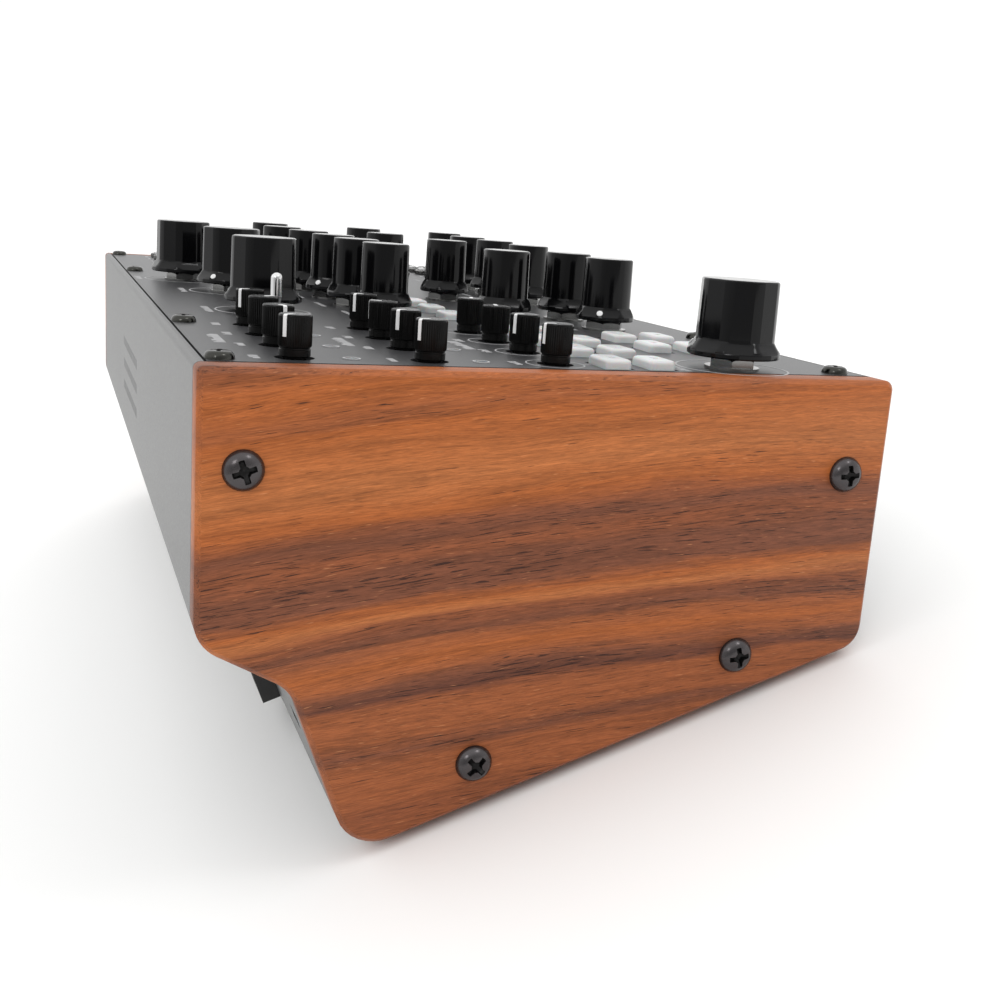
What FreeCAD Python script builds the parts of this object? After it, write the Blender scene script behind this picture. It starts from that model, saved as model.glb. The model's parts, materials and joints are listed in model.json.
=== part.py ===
"""Desktop semi-modular synthesizer in a sloped steel case between wooden end cheeks.

Frame: +Z up, the instrument standing on its rubber feet, the player sitting at -Y,
+X towards the player's right. Controls are laid out in the plane of the control panel:
"along" runs from the outer face of the left cheek to the right, "down" runs from the
rear edge of the cheeks towards the player, and height is measured off the panel.
"""
import FreeCAD
import Part
import Sketcher
import math
import os

from FreeCAD import Placement, Rotation, Vector

# ---------------------------------------------------------------- driving dimensions

DIMENSIONS = {
    # case and cheeks
    "overall_length": 319.0,
    "panel_tilt": 18.6,
    "origin_lift": 95.6648,
    "origin_shift": 55.784,
    "cheek_thickness": 6.35,
    "cheek_bevel": 1.0,
    "case_wall": 1.8,
    "case_lip_width": 8.6,
    "case_lip_thickness": 1.5,
    "foot_radius": 6.0,
    "foot_height": 2.0,
    "hole_play": 0.05,
    "drill_length": 20.0,
    # power inlet
    "inlet_depth": 12.0,
    "inlet_proud": 4.1,
    "inlet_bore_radius": 2.85,
    "inlet_bore_depth": 9.0,
    "inlet_pin_radius": 1.0,
    "inlet_pin_length": 12.0,
    # control panel
    "panel_length": 304.8,
    "panel_width": 128.5,
    "panel_thickness": 2.0,
    "panel_start": 2.3,
    "panel_gap": 0.5,
    "board_depth": 13.0,
    "board_thickness": 1.6,
    "board_end_gap": 2.2,
    "board_edge_gap": 9.0,
    "lamp_radius": 1.5,
    "lamp_rise": 0.15,
    "switch_size": 6.0,
    "plunger_radius": 1.7,
    "plunger_gap": 0.1,
    "spacer_across": 5.5,
    # turned controls
    "large_knob_radius": 8.05,
    "large_skirt_radius": 9.1,
    "medium_knob_radius": 6.3,
    "medium_skirt_radius": 7.15,
    "knob_top": 17.3,
    "knob_bottom": 2.35,
    "skirt_rise": 1.25,
    "skirt_rim": 0.3,
    "skirt_flare": 2.1,
    "knob_edge": 0.5,
    "shaft_radius": 3.0,
    "shaft_clearance": 0.06,
    "shaft_end_depth": 11.5,
    "shaft_end_gap": 0.7,
    "pot_length": 9.5,
    "pot_width": 11.0,
    "pot_gap": 0.3,
    "bushing_wall": 0.5,
    "bushing_gap": 0.2,
    "washer_radius": 5.4,
    "washer_height": 0.4,
    "nut_across": 9.6,
    "nut_height": 1.6,
    "step_knob_radius": 2.95,
    "step_knob_top": 7.6,
    "step_knob_edge": 0.4,
    "step_knob_shoulder": 1.8,
    "step_collar_inset": 0.12,
    "step_seat_depth": 1.5,
    "step_knob_end_depth": 9.0,
    "step_stem_radius": 2.0,
    "step_hole_radius": 3.5,
    "step_pot_drop": 1.8,
    # buttons
    "button_length": 9.4,
    "button_width": 5.6,
    "button_rise": 1.7,
    "button_root_depth": 3.6,
    "button_flange": 0.8,
    "button_flange_thickness": 0.9,
    "button_play": 0.3,
    "button_dimple_radius": 1.15,
    "button_dimple_depth": 0.5,
    "button_travel": 0.6,
    # toggle switch
    "toggle_height": 10.3,
    "toggle_tip_radius": 1.3,
    "toggle_neck_radius": 0.9,
    "toggle_neck_end": 3.0,
    "toggle_swell_end": 5.0,
    "toggle_pivot_radius": 1.45,
    "toggle_bushing_radius": 2.45,
    "toggle_bushing_rise": 3.0,
    "toggle_well_depth": 5.0,
    "toggle_mouth_radius": 2.35,
    "toggle_mouth_start": 0.5,
    "toggle_mouth_height": 3.0,
    "toggle_nut_across": 8.6,
    "toggle_nut_height": 1.6,
    "toggle_pin_radius": 0.5,
    "toggle_pin_length": 4.2,
    # patch sockets
    "socket_bore_radius": 1.8,
    "socket_collar_radius": 3.0,
    "socket_collar_rise": 2.0,
    "socket_nut_radius": 4.0,
    "socket_nut_height": 1.6,
    "socket_length": 9.0,
    "socket_width": 9.4,
    "socket_floor": 0.6,
    "socket_gap": 0.1,
    "socket_pitch_along": 13.0,
    "socket_pitch_down": 13.97,
    # fasteners
    "cheek_screw_head_radius": 3.55,
    "cheek_screw_head_height": 2.1,
    "cheek_screw_shank_radius": 1.75,
    "cheek_screw_length": 12.0,
    "cheek_screw_recess": 4.2,
    "cheek_hole_length": 16.0,
    "panel_screw_head_radius": 2.6,
    "panel_screw_head_height": 1.4,
    "panel_screw_shank_radius": 1.45,
    "panel_screw_length": 5.0,
    "panel_screw_recess": 3.0,
    "panel_screw_hole_radius": 1.7,
}

# Side outline of a cheek as (down, height, corner radius), seen in the panel's slope.
CHEEK_OUTLINE = [
    (0.0, 0.0, 1.2),
    (133.1, 0.0, 2.0),
    (133.2, -54.0, 5.4),
    (28.6, -89.202, 8.0),
    (16.5, -56.2, 8.0),
    (0.0, -47.3, 7.5),
]
CHEEK_SCREWS = [(7.6, -16.9), (124.0, -18.4), (104.0, -54.6), (51.0, -72.7)]
PANEL_SCREWS_ALONG = [10.7, 68.6, 220.0, 308.3]
PANEL_SCREWS_DOWN = [4.8, 126.0]
TIGHTEST_BEND = 0.5
FEET = [(-140.0, -40.0), (140.0, -40.0), (-140.0, 42.0), (140.0, 42.0)]

# Controls as (along, down).
LARGE_KNOBS = {
    "tempo_knob": (14.5, 104.7),
    "oscillator_one_knob": (98.0, 26.0),
    "oscillator_two_knob": (151.3, 25.7),
    "cutoff_knob": (190.0, 16.8),
}
MEDIUM_KNOBS = {
    "pitch_knob": [
        (101.0, 56.0), (122.3, 53.7), (145.0, 52.5), (170.0, 50.5), (195.0, 47.2), (229.7, 49.2),
    ],
    "level_knob": [(99.7, 87.0), (154.9, 88.3), (189.0, 78.5), (235.6, 82.7)],
    "envelope_knob": [
        (82.2, 107.4), (106.0, 106.5), (150.0, 112.0), (180.0, 112.0), (205.0, 111.0), (238.0, 113.0),
    ],
}
# Pointer directions of the knobs at rest, in degrees clockwise from the rear edge.
POINTERS = {
    "tempo_knob": 45.0,
    "oscillator_one_knob": 35.0,
    "oscillator_two_knob": -50.0,
    "cutoff_knob": 60.0,
    "pitch_knob_1": 77.0,
    "pitch_knob_2": 100.0,
    "pitch_knob_3": -45.0,
    "pitch_knob_4": 120.0,
    "pitch_knob_5": 40.0,
    "pitch_knob_6": 90.0,
    "level_knob_1": 70.0,
    "level_knob_2": 75.0,
    "level_knob_3": 130.0,
    "level_knob_4": 50.0,
    "envelope_knob_1": -55.0,
    "envelope_knob_2": 110.0,
    "envelope_knob_3": 60.0,
    "envelope_knob_4": 95.0,
    "envelope_knob_5": -110.0,
    "envelope_knob_6": 120.0,
}
STEP_POINTERS = [
    [-42.0, -105.0, 148.0, -37.0],
    [-29.0, -43.0, 20.0, -35.0],
    [-13.0, -28.0, 100.0, 110.0],
]
STEP_FIRST = 13.74
STEP_PITCH = 17.25
STEP_ROWS = [18.0, 42.4, 66.8]
STEP_COLUMNS = 4
INDICATOR_ROWS = [28.1, 52.2]
RHYTHM_FIRST = 13.0
RHYTHM_ROWS = [77.6, 86.8]
TRANSPORT_PAIRS = {"transport_buttons_left": 41.2, "transport_buttons_right": 58.5}
TRANSPORT_ROWS = [100.5, 110.0]
ASSIGN_ALONG = [97.5, 114.5, 131.5]
ASSIGN_DOWN = 72.5
TOGGLE_AT = (80.0, 26.0)
TOGGLE_BLOCK = (7.0, 12.5)
SOCKET_FIRST = (263.5, 20.0)
SOCKET_COLUMNS = 4
SOCKET_ROWS = 8
# Blocks under the control board as (along, down, length, width, drop).
BOARD_PARTS = [
    (60.0, 60.0, 34.0, 8.0, 7.0),
    (150.0, 70.0, 16.0, 16.0, 2.5),
    (185.0, 60.0, 10.0, 10.0, 1.8),
    (230.0, 80.0, 46.0, 8.0, 7.0),
    (110.0, 95.0, 12.0, 9.0, 9.0),
]
SPACERS = [(79.0, 45.0), (124.0, 25.0), (210.0, 25.0), (172.0, 95.0), (215.0, 65.0), (251.0, 98.0)]

# The lower rear face runs from corner 5 to corner 4 of the cheek's outline; the power inlet and
# the lock slot sit on it, placed by their distance along the case and down that face.
INLET_AT = (68.0, 23.0)
INLET_SIZE = (12.0, 11.0)
INLET_PLAY = 0.1
LOCK_SLOT_AT = (19.5, 14.0)
LOCK_SLOT_SIZE = (7.0, 3.0)
WALL_CUT = 8.0

# Shape of a pan head: heights as shares of the head's, widths as shares of its radius.
HEAD_RIM = 0.35
HEAD_SHOULDER = 0.62
HEAD_CROWN = (0.91, 0.795)
RECESS_DEPTH = 0.7
RECESS_ARM = 0.13

# A knob's pointer sits on a ridge between two facets, half a facet round from a flat.
KNOB_SIDES = 8
FACET_TURN = 22.5

doc = FreeCAD.newDocument("Synthesizer")
sheet = doc.addObject("Spreadsheet::Sheet", "Dimensions")
for row, (alias, number) in enumerate(DIMENSIONS.items(), start=1):
    sheet.set(f"A{row}", alias.replace("_", " "))
    sheet.set(f"B{row}", str(number))
    sheet.setAlias(f"B{row}", alias)
doc.recompute()


def size(alias):
    """Value of one cell of the sheet."""
    return float(sheet.get(alias))


def bind(feature, **expressions):
    """Tie properties of a feature to cells: bind(pad, Length="case_wall * 2")."""
    for prop, expression in expressions.items():
        words = []
        for word in expression.split():
            words.append(f"Dimensions.{word}" if word in DIMENSIONS else word)
        feature.setExpression(prop, " ".join(words))


# ---------------------------------------------------------------- places

TILT = size("panel_tilt")
HALF_LENGTH = size("overall_length") / 2
PANEL_FRAME = Placement(
    Vector(0, size("origin_shift"), size("origin_lift")), Rotation(Vector(1, 0, 0), TILT)
)
BOARD_TOP = -size("board_depth")
UNDER_PANEL = -size("panel_thickness")


def on_panel(along, down, height=0.0):
    """Placement of something standing square on the control panel."""
    return PANEL_FRAME.multiply(Placement(Vector(along - HALF_LENGTH, -down, height), Rotation()))


def turned(place, pointer):
    """The same place turned about its own Z so that local +Y looks along a pointer."""
    return place.multiply(Placement(Vector(0, 0, 0), Rotation(Vector(0, 0, 1), -pointer)))


# Side outlines are drawn with the height first: sketch X is height off the panel,
# sketch Y is distance down the slope and the sketch's normal is the row's +X.
SIDE_TURN = Rotation(Vector(0, 0, 1), Vector(0, -1, 0), Vector(1, 0, 0), "XYZ")


def side_place(x):
    """Placement of a side outline at one x."""
    return PANEL_FRAME.multiply(Placement(Vector(x, 0, 0), SIDE_TURN))


# ---------------------------------------------------------------- building blocks

def new_body(name, place):
    body = doc.addObject("PartDesign::Body", name)
    body.Label = name
    body.Placement = place
    return body


def new_sketch(body, role, name, offset=None):
    sketch = body.newObject("Sketcher::SketchObject", f"{body.Name}_{name}")
    plane = next(item for item in body.Origin.OriginFeatures if item.Role == role)
    sketch.AttachmentSupport = [(plane, "")]
    sketch.MapMode = "FlatFace"
    if offset is not None:
        sketch.AttachmentOffset = Placement(offset, Rotation())
    return sketch


def draw_polygon(sketch, points):
    for start, end in zip(points, points[1:] + points[:1]):
        sketch.addGeometry(Part.LineSegment(Vector(*start, 0), Vector(*end, 0)), False)


def draw_box(sketch, centre, length, width):
    x, y = centre
    corners = [(-1, -1), (1, -1), (1, 1), (-1, 1)]
    draw_polygon(sketch, [(x + i * length / 2, y + j * width / 2) for i, j in corners])


def draw_circles(sketch, centres, alias):
    """Equal circles whose radius is bound to one cell."""
    for x, y in centres:
        index = sketch.addGeometry(Part.Circle(Vector(x, y, 0), Vector(0, 0, 1), size(alias)), False)
        number = sketch.addConstraint(Sketcher.Constraint("Radius", index, size(alias)))
        sketch.setExpression(f"Constraints[{number}]", f"Dimensions.{alias}")


def rounded_edges(corners):
    """Lines and tangent arcs around an outline given as (x, y, radius)."""
    stops = []
    for index, (x, y, radius) in enumerate(corners):
        here = Vector(x, y, 0)
        before = Vector(*corners[index - 1][:2], 0) - here
        after = Vector(*corners[(index + 1) % len(corners)][:2], 0) - here
        before.normalize()
        after.normalize()
        half = before.getAngle(after) / 2
        reach = radius / math.tan(half)
        middle = before + after
        middle.normalize()
        centre = here + middle * (radius / math.sin(half))
        stops.append((here + before * reach, centre - middle * radius, here + after * reach))
    edges = []
    for index, (start, crown, end) in enumerate(stops):
        edges.append(Part.Arc(start, crown, end))
        edges.append(Part.LineSegment(end, stops[(index + 1) % len(stops)][0]))
    return edges


def pad(body, sketch, length, reverse=False):
    feature = body.newObject("PartDesign::Pad", f"{sketch.Name}_pad")
    feature.Profile = sketch
    feature.Reversed = reverse
    bind(feature, Length=length)
    return feature


def pocket(body, sketch, depth, reverse=False):
    feature = body.newObject("PartDesign::Pocket", f"{sketch.Name}_pocket")
    feature.Profile = sketch
    feature.Reversed = reverse
    bind(feature, Length=depth)
    return feature


def revolve(body, sketch):
    feature = body.newObject("PartDesign::Revolution", f"{sketch.Name}_turned")
    feature.Profile = sketch
    feature.ReferenceAxis = (sketch, ["V_Axis"])
    feature.Angle = 360
    return feature


def cylinder(name, place, radius, height):
    """Cylinder rising from its place; radius and height are sums of cells of the sheet."""
    feature = doc.addObject("Part::Cylinder", name)
    bind(feature, Radius=radius, Height=height)
    feature.Placement = place
    return feature


def box(name, place, length, width, height):
    """Box centred on its place in X and Y, rising in Z."""
    feature = doc.addObject("Part::Box", name)
    feature.Length = length
    feature.Width = width
    feature.Height = height
    feature.Placement = place.multiply(Placement(Vector(-length / 2, -width / 2, 0), Rotation()))
    return feature


def cut(name, base, tools):
    feature = doc.addObject("Part::Cut", name)
    feature.Base = base
    if len(tools) == 1:
        feature.Tool = tools[0]
    else:
        feature.Tool = group(f"{name}_tools", tools)
    return feature


def fuse(name, parts):
    feature = doc.addObject("Part::MultiFuse", name)
    feature.Shapes = parts
    return feature


def group(name, parts):
    """Several loose solids kept together as one sub-part."""
    feature = doc.addObject("Part::Compound", name)
    feature.Links = parts
    return feature


def hexagon(name, place, across_corners, height):
    """Six-sided bar rising from its place; its sizes are sums of cells of the sheet."""
    feature = doc.addObject("Part::Prism", name)
    feature.Polygon = 6
    bind(feature, Circumradius=f"{across_corners} / 2", Height=height)
    feature.Placement = place
    return feature


# ---------------------------------------------------------------- control positions

def step_positions():
    """Row and column numbers with the place of each small sequencer knob."""
    for row, down in enumerate(STEP_ROWS, start=1):
        for column in range(STEP_COLUMNS):
            yield row, column + 1, STEP_FIRST + STEP_PITCH * column, down


def rhythm_positions():
    for row, down in enumerate(RHYTHM_ROWS, start=1):
        for column in range(STEP_COLUMNS):
            yield row, column + 1, RHYTHM_FIRST + STEP_PITCH * column, down


def indicator_positions():
    """Places of the step lights."""
    columns = [STEP_FIRST + STEP_PITCH * column for column in range(STEP_COLUMNS)]
    return [(along, down) for down in INDICATOR_ROWS for along in columns]


def transport_positions(along):
    return [(along, down) for down in TRANSPORT_ROWS]


def assign_positions():
    return [(along, ASSIGN_DOWN) for along in ASSIGN_ALONG]


def socket_positions():
    first_along, first_down = SOCKET_FIRST
    for column in range(SOCKET_COLUMNS):
        for row in range(SOCKET_ROWS):
            yield (
                first_along + size("socket_pitch_along") * column,
                first_down + size("socket_pitch_down") * row,
            )


def skirted_knobs():
    """Name, place and family of every knob on a threaded bushing."""
    for name, place in LARGE_KNOBS.items():
        yield name, place, "large"
    for family, places in MEDIUM_KNOBS.items():
        for number, place in enumerate(places, start=1):
            yield f"{family}_{number}", place, "medium"


def button_positions():
    places = [(along, down) for _, _, along, down in rhythm_positions()]
    for along in TRANSPORT_PAIRS.values():
        places += transport_positions(along)
    return places + assign_positions()


def panel_screw_positions():
    return [(along, down) for down in PANEL_SCREWS_DOWN for along in PANEL_SCREWS_ALONG]


# ---------------------------------------------------------------- case and cheeks

def outline_in_height_first(outline):
    return [(height, down, radius) for down, height, radius in outline]


def draw_outline(sketch, outline):
    for edge in rounded_edges(outline_in_height_first(outline)):
        sketch.addGeometry(edge, False)


def inset_outline(outline, inset):
    """The outline moved inwards by one wall, with its corner radii following."""
    corners = []
    for index, (x, y, radius) in enumerate(outline):
        here = Vector(x, y, 0)
        before = here - Vector(*outline[index - 1][:2], 0)
        after = Vector(*outline[(index + 1) % len(outline)][:2], 0) - here
        before.normalize()
        after.normalize()
        inward_before = Vector(before.y, -before.x, 0)
        inward_after = Vector(after.y, -after.x, 0)
        reach = inset / (1 + inward_before.dot(inward_after))
        moved = here + (inward_before + inward_after) * reach
        outer_corner = before.cross(after).z < 0
        inner_radius = max(radius - inset, TIGHTEST_BEND) if outer_corner else radius + inset
        corners.append((moved.x, moved.y, inner_radius))
    return corners


def build_cheek(name, outer_x, direction):
    """Wooden end cheek; its outer face is bevelled all round and drilled for four screws."""
    body = new_body(name, side_place(outer_x))
    sketch = new_sketch(body, "XY_Plane", "outline")
    draw_outline(sketch, CHEEK_OUTLINE)
    board = pad(body, sketch, "cheek_thickness", reverse=direction < 0)
    doc.recompute()
    outer_edges = []
    for index, edge in enumerate(board.Shape.Edges, start=1):
        if all(abs(vertex.Z) < 1e-6 for vertex in edge.Vertexes):
            outer_edges.append(f"Edge{index}")
    bevel = body.newObject("PartDesign::Chamfer", f"{name}_bevel")
    bevel.Base = (board, outer_edges)
    bind(bevel, Size="cheek_bevel")
    holes = new_sketch(body, "XY_Plane", "screw_holes")
    for down, height in CHEEK_SCREWS:
        radius = size("cheek_screw_shank_radius") + size("hole_play")
        holes.addGeometry(Part.Circle(Vector(height, down, 0), Vector(0, 0, 1), radius), False)
    pocket(body, holes, "cheek_thickness * 2", reverse=direction > 0)
    return body


def build_case_shell():
    """Bent steel tray: closed sides and bottom, open on top with two lips for the panel."""
    wall = size("case_wall")
    shell_half = HALF_LENGTH - size("cheek_thickness")
    body = new_body("case_shell", side_place(-shell_half))
    outside = new_sketch(body, "XY_Plane", "outside")
    draw_outline(outside, CHEEK_OUTLINE)
    pad(body, outside, "overall_length - cheek_thickness * 2")
    inside = new_sketch(body, "XY_Plane", "inside", Vector(0, 0, wall))
    hollow = inset_outline(CHEEK_OUTLINE, wall)
    for edge in rounded_edges(outline_in_height_first(hollow)):
        inside.addGeometry(edge, False)
    pocket(body, inside, "overall_length - cheek_thickness * 2 - case_wall * 2", reverse=True)
    mouth = new_sketch(body, "YZ_Plane", "mouth")
    middle_down = size("panel_start") + size("panel_width") / 2
    mouth_width = size("panel_width") + 2 * size("panel_gap")
    draw_box(mouth, (middle_down, shell_half), mouth_width, 2 * shell_half + 2)
    opening = pocket(body, mouth, "panel_thickness * 2")
    opening.Midplane = True
    return body


def build_case(name="case_shell"):
    """Tray, lips and cut-outs joined into one piece of bent steel."""
    tray = build_case_shell()
    tray.Label = "case_tray"
    lips = []
    lip_width = size("case_lip_width")
    lip_bottom = UNDER_PANEL - size("case_lip_thickness")
    inner = HALF_LENGTH - size("cheek_thickness") - size("case_wall")
    rear_edge = size("case_wall")
    front_edge = CHEEK_OUTLINE[1][0] - size("case_wall")
    for side, down in (("rear", rear_edge + lip_width / 2), ("front", front_edge - lip_width / 2)):
        place = on_panel(HALF_LENGTH, down, lip_bottom)
        lips.append(box(f"case_lip_{side}", place, 2 * inner, lip_width, size("case_lip_thickness")))
    tools = []
    for number, (along, down) in enumerate(panel_screw_positions(), start=1):
        place = on_panel(along, down, -size("panel_screw_length"))
        radius = "panel_screw_shank_radius + hole_play"
        tools.append(cylinder(f"lip_hole_{number}", place, radius, "panel_screw_length"))
    hole_length = size("cheek_hole_length")
    for side, start in (("left", -HALF_LENGTH), ("right", HALF_LENGTH - hole_length)):
        for number, (down, height) in enumerate(CHEEK_SCREWS, start=1):
            place = side_place(start).multiply(Placement(Vector(height, down, 0), Rotation()))
            radius = "cheek_screw_shank_radius + hole_play"
            tools.append(cylinder(f"end_hole_{side}_{number}", place, radius, "cheek_hole_length"))
    inlet_window = box("inlet_window", rear_face_place(INLET_AT, -WALL_CUT / 2), *INLET_SIZE, WALL_CUT)
    lock_slot = box("lock_slot", rear_face_place(LOCK_SLOT_AT, -WALL_CUT / 2), *LOCK_SLOT_SIZE, WALL_CUT)
    whole = fuse("case_with_lips", [tray] + lips)
    return cut(name, whole, tools + [inlet_window, lock_slot])


def rear_face_place(spot, out):
    """Placement on the lower rear face: Z points out of the case, X along it."""
    along, drop = spot
    top = Vector(0, -CHEEK_OUTLINE[4][0], CHEEK_OUTLINE[4][1])
    bottom = Vector(0, -CHEEK_OUTLINE[3][0], CHEEK_OUTLINE[3][1])
    falling = bottom - top
    falling.normalize()
    outward = Vector(1, 0, 0).cross(falling)
    at = top + falling * drop + outward * out + Vector(along - HALF_LENGTH, 0, 0)
    turn = Rotation(Vector(1, 0, 0), outward.cross(Vector(1, 0, 0)), outward, "XYZ")
    return PANEL_FRAME.multiply(Placement(at, turn))


def build_power_inlet():
    """Barrel power socket: housing through the rear wall, open at the rear, with a centre pin."""
    depth = size("inlet_depth")
    length = INLET_SIZE[0] - INLET_PLAY
    width = INLET_SIZE[1] - INLET_PLAY
    block = box(
        "inlet_block", rear_face_place(INLET_AT, -depth), length, width, depth + size("inlet_proud")
    )
    floor = rear_face_place(INLET_AT, -size("inlet_bore_depth"))
    bore = cylinder("inlet_bore", floor, "inlet_bore_radius", "drill_length")
    pin = cylinder("inlet_pin", floor, "inlet_pin_radius", "inlet_pin_length")
    return fuse("power_inlet", [cut("inlet_housing", block, [bore]), pin])


def build_feet():
    floor_feet = []
    for number, (x, y) in enumerate(FEET, start=1):
        place = Placement(Vector(x, y, 0), Rotation())
        floor_feet.append(cylinder(f"foot_{number}", place, "foot_radius", "foot_height"))
    return group("rubber_feet", floor_feet)


# ---------------------------------------------------------------- panel and fasteners

def build_panel():
    """Aluminium control panel, drilled and slotted for every control."""
    body = new_body("control_panel", on_panel(HALF_LENGTH, 0))
    sketch = new_sketch(body, "XY_Plane", "plate")
    middle = -(size("panel_start") + size("panel_width") / 2)
    draw_box(sketch, (0, middle), size("panel_length"), size("panel_width"))
    pad(body, sketch, "panel_thickness", reverse=True)
    holes = new_sketch(body, "XY_Plane", "round_holes")
    play = size("hole_play")
    for places, radius in (
        ([place for _, place, _ in skirted_knobs()], size("shaft_radius") + size("bushing_wall") + play),
        ([(along, down) for _, _, along, down in step_positions()], size("step_hole_radius")),
        (indicator_positions(), size("lamp_radius") + play),
        ([TOGGLE_AT], size("toggle_bushing_radius") + play),
        (list(socket_positions()), size("socket_collar_radius") + play),
        (panel_screw_positions(), size("panel_screw_hole_radius")),
    ):
        for along, down in places:
            centre = Vector(along - HALF_LENGTH, -down, 0)
            holes.addGeometry(Part.Circle(centre, Vector(0, 0, 1), radius), False)
    pocket(body, holes, "panel_thickness * 2")
    slots = new_sketch(body, "XY_Plane", "button_windows")
    gap = 2 * size("button_play")
    for along, down in button_positions():
        centre = (along - HALF_LENGTH, -down)
        draw_box(slots, centre, size("button_length") + gap, size("button_width") + gap)
    pocket(body, slots, "panel_thickness * 2")
    return body


def pan_head_screw(name, place, head, height, shank, length, recess):
    """Pan-head screw with a cross recess; its head stands along +Z of its place."""
    body = new_body(name, place)
    profile = new_sketch(body, "XZ_Plane", "profile")
    head_r = size(head)
    top = size(height)
    rim = HEAD_RIM * top
    shoulder = HEAD_SHOULDER * head_r
    shank_r = size(shank)
    end = -size(length)
    profile.addGeometry(Part.LineSegment(Vector(0, end, 0), Vector(shank_r, end, 0)), False)
    profile.addGeometry(Part.LineSegment(Vector(shank_r, end, 0), Vector(shank_r, 0, 0)), False)
    profile.addGeometry(Part.LineSegment(Vector(shank_r, 0, 0), Vector(head_r, 0, 0)), False)
    profile.addGeometry(Part.LineSegment(Vector(head_r, 0, 0), Vector(head_r, rim, 0)), False)
    crown = Vector(HEAD_CROWN[0] * head_r, HEAD_CROWN[1] * top, 0)
    profile.addGeometry(Part.Arc(Vector(head_r, rim, 0), crown, Vector(shoulder, top, 0)), False)
    profile.addGeometry(Part.LineSegment(Vector(shoulder, top, 0), Vector(0, top, 0)), False)
    profile.addGeometry(Part.LineSegment(Vector(0, top, 0), Vector(0, end, 0)), False)
    revolve(body, profile)
    cross = new_sketch(body, "XY_Plane", "recess", Vector(0, 0, top))
    reach = size(recess) / 2
    arm = size(recess) * RECESS_ARM
    draw_polygon(cross, [
        (-reach, -arm), (-arm, -arm), (-arm, -reach), (arm, -reach), (arm, -arm), (reach, -arm),
        (reach, arm), (arm, arm), (arm, reach), (-arm, reach), (-arm, arm), (-reach, arm),
    ])
    pocket(body, cross, f"{height} * {RECESS_DEPTH}")
    return body


def build_cheek_screws():
    screws = []
    head = Rotation(Vector(0, 1, 0), 180)
    for side, x, facing in (("left", -HALF_LENGTH, head), ("right", HALF_LENGTH, Rotation())):
        for number, (down, height) in enumerate(CHEEK_SCREWS, start=1):
            place = side_place(x).multiply(Placement(Vector(height, down, 0), facing))
            screws.append(pan_head_screw(
                f"cheek_screw_{side}_{number}", place, "cheek_screw_head_radius", "cheek_screw_head_height",
                "cheek_screw_shank_radius", "cheek_screw_length", "cheek_screw_recess",
            ))
    return group("cheek_screws", screws)


def build_panel_screws():
    screws = []
    for number, (along, down) in enumerate(panel_screw_positions(), start=1):
        screws.append(pan_head_screw(
            f"panel_screw_{number}", on_panel(along, down),
            "panel_screw_head_radius", "panel_screw_head_height",
            "panel_screw_shank_radius", "panel_screw_length", "panel_screw_recess",
        ))
    return group("panel_screws", screws)


def bored(blank, name, along, down, radius):
    """A nut's blank with its hole through it."""
    hole = cylinder(f"nut_hole_{name}", on_panel(along, down, UNDER_PANEL), radius, "drill_length")
    return cut(f"fitted_nut_{name}", blank, [hole])


def build_panel_nuts():
    """Washers and nuts on the knob bushings, the toggle and the patch sockets."""
    nuts = []
    for name, (along, down), _ in skirted_knobs():
        washer = cylinder(f"washer_{name}", on_panel(along, down), "washer_radius", "washer_height")
        seat = on_panel(along, down, size("washer_height"))
        nut = hexagon(f"nut_{name}", seat, "nut_across", "nut_height")
        blank = fuse(f"nut_blank_{name}", [washer, nut])
        nuts.append(bored(blank, name, along, down, "shaft_radius + bushing_wall + hole_play"))
    along, down = TOGGLE_AT
    blank = hexagon("nut_toggle", on_panel(along, down), "toggle_nut_across", "toggle_nut_height")
    nuts.append(bored(blank, "toggle", along, down, "toggle_bushing_radius + hole_play"))
    for number, (along, down) in enumerate(socket_positions(), start=1):
        place = on_panel(along, down)
        blank = cylinder(f"nut_socket_{number}", place, "socket_nut_radius", "socket_nut_height")
        nuts.append(bored(blank, f"socket_{number}", along, down, "socket_collar_radius + hole_play"))
    return group("panel_nuts", nuts)


# ---------------------------------------------------------------- inside the case

def build_control_board():
    """Board that carries every control, with its connectors and regulators underneath."""
    middle = size("panel_start") + size("panel_width") / 2
    underside = BOARD_TOP - size("board_thickness")
    length = size("panel_length") - 2 * size("board_end_gap")
    width = size("panel_width") - 2 * size("board_edge_gap")
    place = on_panel(HALF_LENGTH, middle, underside)
    pieces = [box("board_plate", place, length, width, size("board_thickness"))]
    for number, (along, down, length, width, drop) in enumerate(BOARD_PARTS, start=1):
        place = on_panel(along, down, underside - drop)
        pieces.append(box(f"board_part_{number}", place, length, width, drop))
    return fuse("control_board", pieces)


def pot_with_bushing(name, along, down):
    """Potentiometer under a skirted knob: its threaded bushing stands through the panel."""
    top = UNDER_PANEL - size("pot_gap")
    place = on_panel(along, down, BOARD_TOP)
    block = box(f"pot_block_{name}", place, size("pot_length"), size("pot_width"), top - BOARD_TOP)
    rise = "knob_bottom - bushing_gap + panel_thickness + pot_gap"
    bushing = cylinder(f"pot_bushing_{name}", on_panel(along, down, top), "shaft_radius + bushing_wall", rise)
    floor = on_panel(along, down, -size("shaft_end_depth") - size("shaft_end_gap"))
    hole = cylinder(f"pot_hole_{name}", floor, "shaft_radius + shaft_clearance", "drill_length")
    return cut(f"pot_{name}", fuse(f"pot_solid_{name}", [block, bushing]), [hole])


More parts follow.
